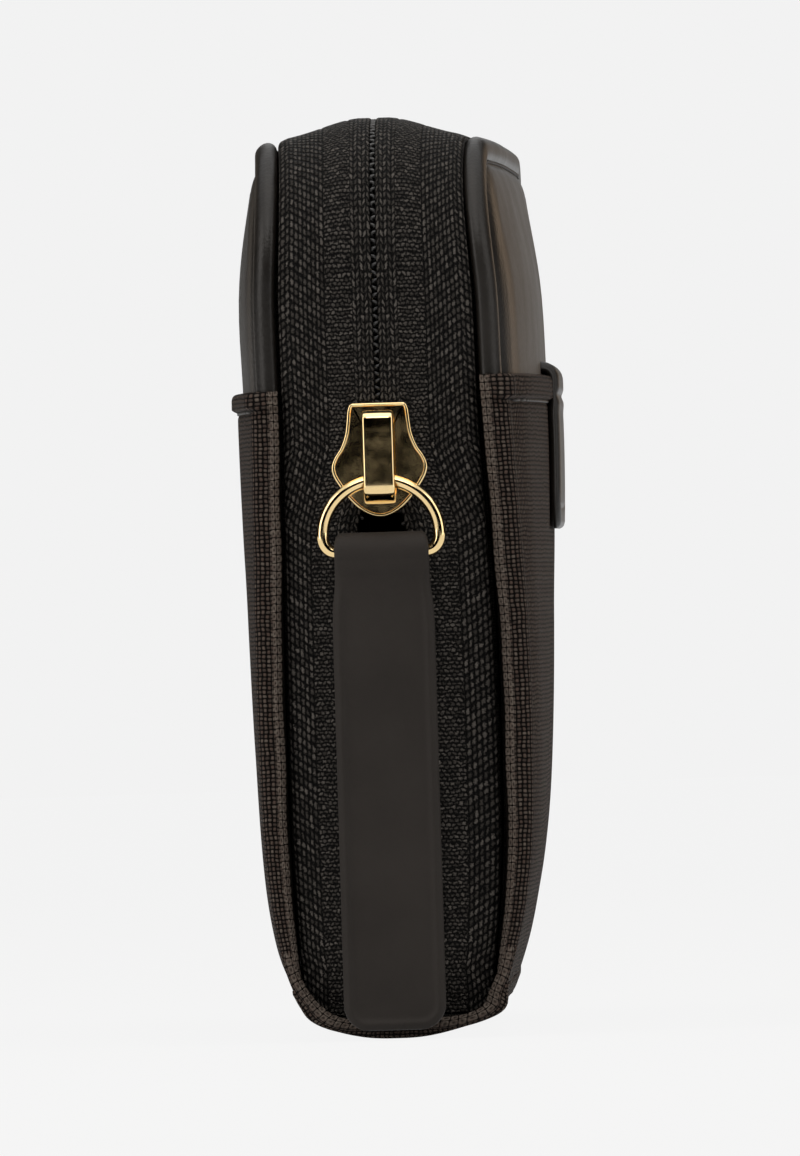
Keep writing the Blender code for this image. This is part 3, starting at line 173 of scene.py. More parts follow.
def zip_path(distance):
    """Points (y, z) and outward normals along the zip from its near foot, as arrays."""
    distance = np.asarray(distance, float)
    leg = CORNER_Z - TAPE_BOTTOM_Z
    quarter = CORNER_RADIUS * math.pi / 2
    top = 2 * CORNER_Y
    first = np.clip((distance - leg) / CORNER_RADIUS, 0, math.pi / 2)
    second = np.clip((distance - leg - quarter - top) / CORNER_RADIUS, 0, math.pi / 2)
    angle = first + second
    out_y, out_z = -np.cos(angle), np.sin(angle)
    along_top = np.clip(distance - leg - quarter, 0, top)
    after = np.clip(distance - leg - 2 * quarter - top, 0, None)
    before = np.clip(leg - distance, 0, None)
    y = -CORNER_Y + along_top + CORNER_RADIUS * out_y
    z = CORNER_Z + CORNER_RADIUS * out_z - before - after
    return y, z, out_y, out_z


ZIP_LENGTH = 2 * (CORNER_Z - TAPE_BOTTOM_Z) + CORNER_RADIUS * math.pi + 2 * CORNER_Y


def swept(side, distance, x, height):
    """Row-frame points of a zip section: x from the middle plane, height above the path."""
    y, z, out_y, out_z = zip_path(distance)
    share = np.minimum(np.asarray(x) / 0.0095, 1.0)
    spread = share * bow(y, z) + share ** 2 * 0.75 * splay(side, y, z)
    return np.stack([side * (x + spread), y + out_y * height, z + out_z * height], axis=-1)


# Mesh building

class Builder:
    """Gathers points, faces and yarn coordinates, and makes one object of them."""

    def __init__(self):
        self.points, self.faces, self.weave, self.count = [], [], [], 0

    def add(self, points, faces, weave=None):
        points = np.asarray(points, float).reshape(-1, 3)
        weave = np.zeros_like(points) if weave is None else np.asarray(weave, float).reshape(-1, 3)
        self.faces += [tuple(index + self.count for index in face) for face in faces]
        self.points.append(points)
        self.weave.append(weave)
        self.count += len(points)

    def grid(self, points, weave=None, wrap=False, close=False):
        """points (rows, columns, 3); wrap joins the last column to the first, close adds end caps."""
        rows, columns = points.shape[:2]
        last = columns if wrap else columns - 1
        faces = []
        for row in range(rows - 1):
            for column in range(last):
                after = (column + 1) % columns
                low, high = row * columns, (row + 1) * columns
                faces.append((low + column, low + after, high + after, high + column))
        if close:
            for start in (0, (rows - 1) * columns):
                for column in range(columns // 2 - 1):
                    mirror = columns - 1 - column
                    faces.append((start + column, start + column + 1, start + mirror - 1, start + mirror))
        self.add(points, faces, weave)

    def tube(self, line, radius, sides=8, closed=False, squeeze=None):
        """Round tube along line (n, 3); radius may vary along it."""
        line = np.asarray(line, float)
        ahead = np.roll(line, -1, axis=0) - np.roll(line, 1, axis=0)
        if not closed:
            ahead[0], ahead[-1] = line[1] - line[0], line[-1] - line[-2]
        ahead /= np.linalg.norm(ahead, axis=1, keepdims=True)
        reference = np.array([0.0, 1.0, 0.0]) if squeeze is None else np.asarray(squeeze, float)
        across = np.cross(ahead, reference)
        short = np.linalg.norm(across, axis=1) < 1e-3
        across[short] = np.cross(ahead[short], np.array([0.31, 0.2, 0.93]))
        across /= np.linalg.norm(across, axis=1, keepdims=True)
        up = np.cross(across, ahead)
        radius = np.broadcast_to(np.asarray(radius, float), (len(line),))
        angles = np.linspace(0, 2 * math.pi, sides, endpoint=False)
        ring = line[:, None] + radius[:, None, None] * (
            np.cos(angles)[None, :, None] * across[:, None] + np.sin(angles)[None, :, None] * up[:, None]
        )
        if closed:
            ring = np.concatenate([ring, ring[:1]])
            rows, columns = ring.shape[:2]
            faces = []
            for row in range(rows - 1):
                high_row = (row + 1) % (rows - 1)
                for column in range(columns):
                    after = (column + 1) % columns
                    low, high = row * columns, high_row * columns
                    faces.append((low + column, low + after, high + after, high + column))
            self.add(ring[:-1], faces)
        else:
            self.grid(ring, wrap=True, close=True)

    def make(self, name, finish, body=None, nodes=(), smooth=True, sharp=None, double=False):
        mesh = bpy.data.meshes.new(name)
        points = np.concatenate(self.points)
        mesh.from_pydata(points.tolist(), [], self.faces)
        weave = mesh.attributes.new("yarn", "FLOAT_VECTOR", "POINT")
        weave.data.foreach_set("vector", np.concatenate(self.weave).astype(np.float32).ravel())
        shell = bmesh.new()
        shell.from_mesh(mesh)
        bmesh.ops.recalc_face_normals(shell, faces=shell.faces)
        shell.to_mesh(mesh)
        shell.free()
        mesh.polygons.foreach_set("use_smooth", np.full(len(mesh.polygons), smooth))
        if sharp:
            mesh.set_sharp_from_angle(angle=math.radians(sharp))
        mesh.materials.append(finish)
        item = bpy.data.objects.new(name, mesh)
        scene.collection.objects.link(item)
        if nodes:
            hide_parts(*nodes)
        if body:
            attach(item, body)
        return item


def edge_steps(radius):
    """Distances from an edge at which a rounded edge needs points."""
    return [radius * (1 - math.cos(math.radians(angle))) for angle in (0, 18, 38, 60, 90)]


def rounding(distance, radius):
    """Share of the half thickness left at a distance from a rounded edge."""
    share = np.clip(distance / radius, 0.0, 1.0)
    return np.sqrt(np.maximum(1.0 - (1.0 - share) ** 2, 0.0))


def grid_normals(points):
    down = np.gradient(points, axis=0)
    across = np.gradient(points, axis=1)
    normal = np.cross(across, down)
    length = np.linalg.norm(normal, axis=2, keepdims=True)
    return normal / np.maximum(length, 1e-12)


def shell_grid(builder, middle, half_thick, weave, outward, shift=None):
    """Closed sheet round a middle surface (rows, columns, 3) whose half thickness falls to 0 at its edges."""
    normal = grid_normals(middle)
    sign = np.sign(np.sum(normal * outward, axis=2, keepdims=True))
    sign[sign == 0] = 1
    normal = normal * sign
    if shift is not None:
        middle = middle + normal * shift[..., None]
    outer = middle + normal * half_thick[..., None]
    inner = middle - normal * half_thick[..., None]
    section = np.concatenate([outer, inner[:, ::-1]], axis=1)
    coords = np.concatenate([weave, weave[:, ::-1]], axis=1)
    builder.grid(section, coords, wrap=True, close=True)


# Materials

class Finish:
    """Short ways of adding nodes to one material."""

    def __init__(self, name):
        self.material = bpy.data.materials.new(name)
        self.material.use_nodes = True
        self.nodes = self.material.node_tree.nodes
        self.links = self.material.node_tree.links
        self.shader = self.nodes["Principled BSDF"]

    def put(self, socket, value):
        if isinstance(value, bpy.types.NodeSocket):
            self.links.new(value, socket)
        elif isinstance(value, (tuple, list)) and len(value) == 3 and socket.type == "RGBA":
            socket.default_value = (*value, 1.0)
        else:
            socket.default_value = value

    def set(self, **values):
        for name, value in values.items():
            self.put(self.shader.inputs[name.replace("_", " ")], value)

    def math(self, operation, first, second=None, clamp=False):
        node = self.nodes.new("ShaderNodeMath")
        node.operation = operation
        node.use_clamp = clamp
        self.put(node.inputs[0], first)
        if second is not None:
            self.put(node.inputs[1], second)
        return node.outputs[0]

    def mix(self, share, first, second):
        node = self.nodes.new("ShaderNodeMix")
        node.data_type = "RGBA"
        self.put(node.inputs[0], share)
        self.put(node.inputs[6], first)
        self.put(node.inputs[7], second)
        return node.outputs[2]

    def blend(self, share, first, second):
        """first at share 0, second at share 1, for plain numbers."""
        node = self.nodes.new("ShaderNodeMix")
        node.data_type = "FLOAT"
        self.put(node.inputs[0], share)
        self.put(node.inputs[2], first)
        self.put(node.inputs[3], second)
        return node.outputs[0]

    def yarn(self):
        node = self.nodes.new("ShaderNodeAttribute")
        node.attribute_name = "yarn"
        split = self.nodes.new("ShaderNodeSeparateXYZ")
        self.links.new(node.outputs["Vector"], split.inputs[0])
        return node.outputs["Vector"], split.outputs[0], split.outputs[1], split.outputs[2]

    def place(self):
        return self.nodes.new("ShaderNodeTexCoord").outputs["Object"]

    def join(self, x, y, z=0.0):
        node = self.nodes.new("ShaderNodeCombineXYZ")
        for socket, value in zip(node.inputs, (x, y, z)):
            self.put(socket, value)
        return node.outputs[0]

    def noise(self, vector, scale, detail=2.0, rough=0.5, distortion=0.0):
        node = self.nodes.new("ShaderNodeTexNoise")
        self.links.new(vector, node.inputs["Vector"])
        node.inputs["Scale"].default_value = scale
        node.inputs["Detail"].default_value = detail
        node.inputs["Roughness"].default_value = rough
        node.inputs["Distortion"].default_value = distortion
        return node.outputs["Fac"] if "Fac" in node.outputs else node.outputs[0]

    def cells(self, vector, scale, feature="F1"):
        node = self.nodes.new("ShaderNodeTexVoronoi")
        node.feature = feature
        self.links.new(vector, node.inputs["Vector"])
        node.inputs["Scale"].default_value = scale
        return node.outputs["Distance"]

    def range(self, value, low, high, new_low=0.0, new_high=1.0, smooth=False):
        node = self.nodes.new("ShaderNodeMapRange")
        node.interpolation_type = "SMOOTHSTEP" if smooth else "LINEAR"
        self.put(node.inputs["Value"], value)
        for name, number in (("From Min", low), ("From Max", high), ("To Min", new_low), ("To Max", new_high)):
            self.put(node.inputs[name], number)
        return node.outputs[0]

    def bump(self, height, strength=1.0):
        """height in millimetres."""
        node = self.nodes.new("ShaderNodeBump")
        node.inputs["Strength"].default_value = strength
        node.inputs["Distance"].default_value = 0.001
        self.links.new(height, node.inputs["Height"])
        self.links.new(node.outputs[0], self.shader.inputs["Normal"])

    def plain_weave(self, across, along, pitch_across, pitch_along):
        """Height 0 to 1 of a plain weave, and 1 where the yarn that runs along is on top."""
        first = self.math("DIVIDE", across, pitch_across)
        second = self.math("DIVIDE", along, pitch_along)
        row, column = self.math("FLOOR", first), self.math("FLOOR", second)
        parity = self.math("FLOORED_MODULO", self.math("ADD", row, column), 2.0)
        hump_first = self.math("SINE", self.math("MULTIPLY", self.math("FRACT", first), math.pi))
        hump_second = self.math("SINE", self.math("MULTIPLY", self.math("FRACT", second), math.pi))
        sharp_first = self.math("POWER", hump_first, 0.45)
        sharp_second = self.math("POWER", hump_second, 0.45)
        up = self.math("MULTIPLY", sharp_first, self.math("POWER", hump_second, 0.8))
        down = self.math("MULTIPLY", sharp_second, self.math("POWER", hump_first, 0.8))
        return self.blend(parity, up, down), parity, self.join(row, column)


def leather_finish(name, colour, lighter, roughness, grain_scale=2600.0, grain=0.02, specular=0.5):
    finish = Finish(name)
    place = finish.place()
    tone = finish.noise(place, 90.0, 3.0)
    fine = finish.noise(place, 1400.0, 3.0, 0.6)
    finish.set(
        Base_Color=finish.mix(finish.range(tone, 0.35, 0.68), colour, lighter),
        Roughness=finish.range(finish.math("ADD", tone, finish.math("MULTIPLY", fine, 0.5)), 0.4, 1.1,
                               roughness - 0.06, roughness + 0.08),
        Metallic=0.0, IOR=1.5, Specular_IOR_Level=specular,
    )
    grain_cells = finish.cells(place, grain_scale)
    creases = finish.noise(place, 420.0, 4.0, 0.6, 0.4)
    height = finish.math("ADD", finish.math("MULTIPLY", grain_cells, grain), finish.math("MULTIPLY", creases, grain))
    finish.bump(height)
    return finish.material


def cloth_finish(name, warp, weft, pitch_across, pitch_along, depth, roughness=0.72, speck=(0.16, 0.135, 0.115)):
    """Plain weave; where the third yarn coordinate is 1 the cloth's folded edge shows square loops."""
    finish = Finish(name)
    vector, across, along, fold = finish.yarn()
    wander = finish.noise(vector, 0.55, 2.0)
    shifted_across = finish.math("ADD", across, finish.math("MULTIPLY", wander, 0.4))
    shifted_along = finish.math("ADD", along, finish.math("MULTIPLY", finish.noise(vector, 0.4, 1.0), 0.4))
    height, parity, cell = finish.plain_weave(shifted_across, shifted_along, pitch_across, pitch_along)
    loops, loop_parity, loop_cell = finish.plain_weave(across, shifted_along, 0.52, 0.88)
    # a loop's height is highest round its rim and lower in the middle; through the painted gap shade below, its rim
    # shows bright and its middle dark
    ring = finish.math("SINE", finish.math("MULTIPLY", loops, 2.6))
    height = finish.blend(fold, height, ring)
    per_yarn = finish.noise(cell, 0.83, 0.0)
    fibres = finish.noise(vector, 11.0, 2.0, 0.6)
    colour = finish.mix(parity, warp, weft)
    bright = finish.range(per_yarn, 0.45, 0.78, 0.0, 0.8)
    bright = finish.math("ADD", bright, finish.math("MULTIPLY", fold, 0.45), clamp=True)
    colour = finish.mix(bright, colour, speck)
    # painted shade: the colour goes to near black where the weave's height is low, in the gaps between yarns where
    # shade falls
    dark = finish.range(height, 0.30, 0.95, 0.02, 1.0, smooth=True)
    shade = finish.mix(dark, tuple(0.03 * part for part in warp), colour)
    finish.set(
        Base_Color=shade, Specular_IOR_Level=0.04,
        Roughness=finish.range(finish.math("ADD", per_yarn, fibres), 0.6, 1.5, roughness - 0.25, roughness + 0.12),
    )
    total = finish.math("ADD", finish.math("MULTIPLY", height, depth), finish.math("MULTIPLY", fibres, depth * 0.18))
    finish.bump(total)
    return finish.material


def tape_finish(name):
    """Zip tape: knit by the chain, then ribbed rows, then two columns of herringbone."""
    finish = Finish(name)
    vector, across, along, _ = finish.yarn()
    wander = finish.math("MULTIPLY", finish.noise(vector, 0.7, 2.0), 0.5)
    along = finish.math("ADD", along, wander)
    across = finish.math("ADD", across, finish.math("MULTIPLY", finish.noise(vector, 1.1, 2.0), 0.16))
    # each yarn also strays a little by itself
    along = finish.math("ADD", along, finish.math("MULTIPLY", finish.noise(vector, 2.3, 2.0), 0.56))
    across = finish.math("ADD", across, finish.math("MULTIPLY", finish.noise(vector, 3.1, 2.0), 0.36))
    half_turn = math.pi

    def hump(value, power):
        wave = finish.math("SINE", finish.math("MULTIPLY", finish.math("FRACT", value), half_turn))
        return finish.math("POWER", wave, power)

    # knit loops: slanted stitches that mirror each other in pairs of columns
    column = finish.math("DIVIDE", across, 0.84)
    lean = finish.math("ABSOLUTE", finish.math("SUBTRACT", finish.math("FRACT", column), 0.5))
    row = finish.math("SUBTRACT", finish.math("DIVIDE", along, 0.76), finish.math("MULTIPLY", lean, 1.3))
    halves = finish.math("MULTIPLY", column, 2.0)
    knit = finish.math("MULTIPLY", hump(row, 0.8), hump(halves, 0.9))
    knit_cell = finish.join(finish.math("FLOOR", row), finish.math("FLOOR", halves))
    # ribbed rows of short dashes
    rib_row = finish.math("DIVIDE", along, 0.44)
    rib_shift = finish.math("MULTIPLY", finish.math("FLOORED_MODULO", finish.math("FLOOR", rib_row), 2.0), 0.5)
    rib_column = finish.math("ADD", finish.math("DIVIDE", across, 0.50), rib_shift)
    ribs = finish.math("MULTIPLY", hump(rib_row, 1.1), hump(rib_column, 0.5))
    rib_cell = finish.join(finish.math("FLOOR", rib_row), finish.math("FLOOR", rib_column))
    # herringbone: upright yarns that float in steps, one way inside and the other way outside
    flip = finish.math("GREATER_THAN", across, 9.2)
    yarn = finish.math("DIVIDE", across, 0.45)
    number = finish.math("FLOOR", yarn)
    step = finish.math("MULTIPLY", number, finish.blend(flip, -0.38, 0.38))
    tilt = finish.math("MULTIPLY", finish.math("SUBTRACT", finish.math("FRACT", yarn), 0.5),
                       finish.blend(flip, -0.34, 0.34))
    float_at = finish.math("ADD", finish.math("ADD", finish.math("DIVIDE", along, 0.86), step), tilt)
    bone = finish.math("MULTIPLY", hump(float_at, 0.85), hump(yarn, 0.9))
    bone_cell = finish.join(number, finish.math("FLOOR", float_at))
    in_knit = finish.math("LESS_THAN", across, 2.52)
    in_bone = finish.math("GREATER_THAN", across, 5.3)
    height = finish.blend(in_knit, finish.blend(in_bone, ribs, bone), knit)
    cell = rib_cell
    for share, other in ((in_bone, bone_cell), (in_knit, knit_cell)):
        pick = finish.nodes.new("ShaderNodeMix")
        pick.data_type = "VECTOR"
        finish.put(pick.inputs[0], share)
        finish.put(pick.inputs[4], cell)
        finish.put(pick.inputs[5], other)
        cell = pick.outputs[1]
    per_yarn = finish.noise(cell, 0.87, 0.0)
    fibres = finish.noise(vector, 9.0, 2.0, 0.6)
    light = finish.range(per_yarn, 0.38, 0.72, 0.0, 1.0)
    # painted shade: the colour goes to near black where the yarn height, roughened by fibre noise, is low, in the gaps
    # between yarns where shade falls
    fuzzed_gap_shade = finish.math("ADD", height, finish.math("MULTIPLY", finish.math("SUBTRACT", fibres, 0.5), 1.7))
    colour = finish.mix(light, (0.036, 0.033, 0.030), (0.125, 0.115, 0.105))
    dark = finish.range(fuzzed_gap_shade, 0.30, 0.92, 0.0, 1.0, smooth=True)
    shade = finish.mix(dark, (0.0008, 0.0007, 0.0006), colour)
    finish.set(Base_Color=shade, Roughness=finish.range(fibres, 0.3, 0.7, 0.42, 0.72), Specular_IOR_Level=0.07)
    total = finish.math("ADD", finish.math("MULTIPLY", height, 0.16), finish.math("MULTIPLY", fibres, 0.02))
    finish.bump(total)
    return finish.material


def metal_finish(name, colour, roughness):
    finish = Finish(name)
    place = finish.place()
    wear = finish.noise(place, 700.0, 3.0, 0.6)
    scratches = finish.noise(place, 5200.0, 2.0, 0.5, 1.5)
    finish.set(
        Base_Color=finish.mix(finish.range(wear, 0.4, 0.7, 0.0, 0.25), colour, tuple(0.82 * c for c in colour)),
        Metallic=1.0, Roughness=finish.range(wear, 0.3, 0.7, roughness, roughness + 0.07),
    )
    finish.bump(finish.math("MULTIPLY", scratches, 0.0012))
    return finish.material


def thread_finish(name, colour):
    finish = Finish(name)
    place = finish.place()
    twist = finish.noise(place, 3500.0, 2.0)
    finish.set(Base_Color=finish.mix(finish.range(twist, 0.35, 0.7), colour, tuple(2.2 * c for c in colour)),
               Roughness=0.55)
    finish.bump(finish.math("MULTIPLY", twist, 0.03))
    return finish.material


GOLD = (0.93, 0.70, 0.36)
leather = leather_finish("smooth leather", (0.010, 0.0085, 0.0072), (0.016, 0.0135, 0.0112), 0.38, specular=0.31)
matte_leather = leather_finish("matte leather", (0.029, 0.0255, 0.0232), (0.036, 0.0318, 0.0290), 0.60, 3400.0, 0.016,
                               0.12)
inner_leather = leather_finish("inner leather", (0.018, 0.016, 0.015), (0.028, 0.025, 0.023), 0.46)
coarse_cloth = cloth_finish("coarse cloth", (0.056, 0.044, 0.038), (0.092, 0.066, 0.055), 0.48, 0.47, 0.17)
lining_cloth = cloth_finish("lining cloth", (0.036, 0.033, 0.031), (0.050, 0.046, 0.043), 0.30, 0.30, 0.05, 0.55,
                            (0.09, 0.083, 0.077))
tape_cloth = tape_finish("zip tape cloth")
gold = metal_finish("gold plated metal", GOLD, 0.07)
steel = metal_finish("spring steel", (0.55, 0.55, 0.56), 0.22)
thread = thread_finish("sewing thread", (0.020, 0.019, 0.018))
coil_finish = Finish("nylon coil")
coil_finish.set(Base_Color=(0.06, 0.06, 0.06), Roughness=coil_finish.range(
    coil_finish.noise(coil_finish.place(), 2500.0), 0.3, 0.7, 0.25, 0.42))
nylon = coil_finish.material
board_finish = Finish("stiffening board")
board_finish.set(Base_Color=board_finish.mix(board_finish.noise(board_finish.place(), 900.0, 4.0),
                                             (0.10, 0.085, 0.07), (0.16, 0.14, 0.115)), Roughness=0.9)
stiffening = board_finish.material


def repaint(name, finish):
    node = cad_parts[name]
    node.data.materials.clear()
    node.data.materials.append(finish)


# Covers: padded leather with a rolled edge

ROLL_PROFILE = (  # inset from the outline and height above the cover's inner face, in millimetres
    (5.20, 2.62), (4.60, 2.58), (4.10, 2.50), (3.70, 2.40), (3.40, 2.28), (3.15, 2.14), (2.95, 2.03), (2.75, 1.99),
    (2.55, 2.05), (2.35, 2.17), (2.10, 2.29), (1.80, 2.38), (1.45, 2.42), (1.10, 2.38), (0.78, 2.25), (0.50, 2.04),
    (0.27, 1.77), (0.10, 1.46), (0.01, 1.12), (0.03, 0.80), (0.14, 0.52), (0.34, 0.28), (0.62, 0.11),
    (1.00, 0.02), (1.75, 0.00), (2.40, 0.00),
)
LEG_STEPS, TURN_STEPS, TOP_STEPS = 210, 40, 118
STITCH_PITCH = 0.0016


def groove_lengths():
    y, z = arch(GROOVE_INSET, LEG_STEPS, TURN_STEPS, TOP_STEPS)
    return np.concatenate([[0], np.cumsum(np.hypot(np.diff(y), np.diff(z)))])


def leather_cover(prefix, side):
    lengths = groove_lengths()
    pucker = np.cos(2 * math.pi * lengths / STITCH_PITCH)
    rings = []
    shares = [0.97, 0.93, 0.88, 0.82, 0.76, 0.70, 0.64, 0.58, 0.52, 0.47, 0.42, 0.375, 0.335, 0.30, 0.265, 0.235,
              0.21, 0.185, 0.165, 0.145, 0.127, 0.112, 0.098, 0.086]
    for share in shares:
        inset = share * HALF_LENGTH
        y, z = arch(inset, LEG_STEPS, TURN_STEPS, TOP_STEPS)
        rings.append(np.stack([side * cover_x(side, 0.01245, y, z, 1.0), y, z], axis=1))
    for inset, height in ROLL_PROFILE:
        y, z = arch(inset * 0.001, LEG_STEPS, TURN_STEPS, TOP_STEPS)
        crown_share = float(np.clip((inset - 2.4) / 0.6, 0, 1))
        near_seam = math.exp(-((inset - 2.85) / 0.35) ** 2)
        bump = 0.00004 * near_seam * pucker if height > 1.0 else 0.0
        x = cover_x(side, EDGE_INNER_X + height * 0.001, y, z, crown_share) + bump
        rings.append(np.stack([side * x, y, z], axis=1))
    inner_rings = [(0.0024, 0.0109), (0.006, 0.0111), (0.012, 0.0111), (0.020, 0.0111), (0.032, 0.0111),
                   (0.046, 0.0111), (0.058, 0.0111)]
    for inset, flat_x in inner_rings:
        y, z = arch(inset, LEG_STEPS, TURN_STEPS, TOP_STEPS)
        rings.append(np.stack([side * cover_x(side, flat_x, y, z, 0.45), y, z], axis=1))
    builder = Builder()
    rings = np.array(rings)
    rows, columns = rings.shape[:2]
    faces = []
    for row in range(rows - 1):
        for column in range(columns - 1):
            low, high = row * columns, (row + 1) * columns
            faces.append((low + column, low + column + 1, high + column + 1, high + column))
    for start in (0, (rows - 1) * columns):
        for column in range(columns // 2 - 1):
            other = columns - 1 - column
            faces.append((start + column, start + column + 1, start + other - 1, start + other))
        middle = columns // 2
        faces.append((start + middle - 1, start + middle, start + middle + 1))
    near = [row * columns for row in range(rows)]
    far = [row * columns + columns - 1 for row in reversed(range(rows))]
    faces.append(tuple(near + far))
    builder.add(rings, faces)
    cover = builder.make(
        prefix + "_cover_leather", leather, prefix + "_cover", (prefix + "_leather", prefix + "_foam"))
    return cover


def seam_stitches(prefix, side):
    """Thread along the valley behind the rolled edge."""
    y, z = arch(GROOVE_INSET, LEG_STEPS, TURN_STEPS, TOP_STEPS)
    lengths = groove_lengths()
    builder = Builder()
    count = int(lengths[-1] / STITCH_PITCH)
    steps = np.linspace(-1, 1, 9)
    for index in range(count):
        centre = (index + 0.5) * STITCH_PITCH
        at = centre + steps * STITCH_PITCH * 0.40
        slant = 0.00010 * steps
        py = np.interp(at, lengths, y)
        pz = np.interp(at, lengths, z)
        ahead_y, ahead_z = np.gradient(py), np.gradient(pz)
        norm = np.hypot(ahead_y, ahead_z)
        out_y, out_z = -ahead_z / norm, ahead_y / norm
        lift = 0.00006 + 0.00012 * (1 - steps ** 2) - 0.00018 * np.abs(steps) ** 6
        px = cover_x(side, EDGE_INNER_X + 0.00200, py, pz, 0.0) + lift
        line = np.stack([side * px, py + out_y * slant, pz + out_z * slant], axis=1)
        builder.tube(line, 0.00013 * (1 - 0.45 * np.abs(steps) ** 4), 6, squeeze=(1, 0, 0))
    item = builder.make(prefix + "_seam_thread", thread, prefix + "_cover")
    return item


# Pocket cloth over the lower part of each cover

def pocket_cloth(prefix, side, hem_top_z, hem_height):
    edge_x, middle_x, middle_y, turn = 0.00995, 0.01273, 0.06300, 0.0013
    near = []
    run = middle_x - turn - edge_x
    for distance in (0, 0.00006, 0.00016, 0.0003, 0.00045, 0.0006, 0.0008, 0.00105, 0.0013):
        near.append((edge_x + min(distance, run - 0.00004), -middle_y))
    near.append((middle_x - turn, -middle_y))
    for angle in np.linspace(0, math.pi / 2, 9)[1:]:
        near.append((middle_x - turn + turn * math.sin(angle), -middle_y + turn - turn * math.cos(angle)))
    for share in (0.97, 0.955, 0.94, 0.925, 0.91, 0.895, 0.88, 0.86, 0.84, 0.815, 0.79, 0.76, 0.73, 0.70, 0.66, 0.62,
                  0.57, 0.52, 0.46, 0.40, 0.33, 0.26, 0.18, 0.09, 0.0):
        near.append((middle_x, -share * HALF_LENGTH))
    flat = np.array(near + [(x, -y) for x, y in reversed(near[:-1])])
    lengths = np.concatenate([[0], np.cumsum(np.hypot(np.diff(flat[:, 0]), np.diff(flat[:, 1])))])
    whole = lengths[-1]
    low = COVER_BOTTOM_Z
    hem_low = hem_top_z - hem_height
    levels = [low + step for step in edge_steps(0.00022)]
    levels += list(np.linspace(low + 0.0006, 0.012, 14))
    levels += list(np.linspace(0.0128, hem_low - 0.0012, 48))
    levels += list(np.linspace(hem_low - 0.0009, hem_low + 0.0006, 10))
    levels += list(np.linspace(hem_low + 0.0009, hem_top_z - 0.0008, 6))
    levels += [hem_top_z - step for step in reversed(edge_steps(0.0007))]
    levels = np.array(levels)
    z = np.repeat(levels[:, None], len(flat), axis=1)
    y = np.repeat(flat[None, :, 1], len(levels), axis=0)
    flat_x = np.repeat(flat[None, :, 0], len(levels), axis=0)
    u = np.repeat(lengths[None, :], len(levels), axis=0)
    side_distance = np.minimum(u, whole - u)
    waves = np.sin(z / 0.0031 + 1.3) + 0.7 * np.sin(z / 0.0017 + 0.4 * side)
    waviness = 0.00006 * waves * np.exp(-side_distance / 0.002)
    waviness += 0.00012 * np.sin(y / 0.0068 + z / 0.021) * np.sin(z / 0.012 + side) * np.clip(side_distance / 0.008, 0, 1)
    x = cover_x(side, flat_x, y, z, 1.0)
    dive = 0.00045 * np.clip((0.0088 - z) / 0.0036, 0, 1)
    middle = np.stack([side * (x + waviness), y - np.sign(y) * dive, z], axis=2)
    outward = np.stack([np.full_like(x, side), np.sign(y) * (np.abs(y) > 0.0612) * 3, np.zeros_like(x)], axis=2)
    in_hem = np.clip((z - hem_low) / 0.0004, 0, 1)
    crease = np.exp(-((z - hem_low + 0.00005) / 0.0003) ** 2)
    fold = np.clip((0.0012 - side_distance) / 0.0003, 0, 1)
    valley = np.exp(-((side_distance - 0.00145) / 0.00022) ** 2)
    half = 0.00023 + 0.00030 * in_hem + 0.00018 * fold * (1 - in_hem)
    half = half * rounding(hem_top_z - z, 0.0007) * rounding(side_distance, 0.0005) * rounding(z - low, 0.00022)
    shift = 0.00034 * in_hem - 0.00016 * crease + 0.00018 * fold * (1 - in_hem) - 0.00008 * valley * (1 - in_hem)
    weave = np.stack([u * 1000, z * 1000, fold], axis=2)
    builder = Builder()
    shell_grid(builder, middle, half, weave, outward, shift)
    cloth = builder.make(prefix + "_pocket", coarse_cloth, prefix + "_cover", (prefix + "_pocket_cloth",))
    return cloth, (whole, hem_top_z - low)


def hem_stitches(prefix, side, z):
    builder = Builder()
    pitch = 0.0027
    steps = np.linspace(-1, 1, 7)
    for index in range(int(0.118 / pitch)):
        centre = -0.059 + (index + 0.5) * pitch
        y = centre + steps * pitch * 0.38
        level = np.full_like(y, z)
        x = cover_x(side, 0.01290, y, level, 1.0) + 0.00010 * (1 - steps ** 2) - 0.00015 * np.abs(steps) ** 6
        builder.tube(np.stack([side * x, y, level], axis=1), 0.00016, 6, squeeze=(1, 0, 0))
    item = builder.make(prefix + "_hem_thread", thread, prefix + "_cover")
    return item


# Leather loop over the front hem

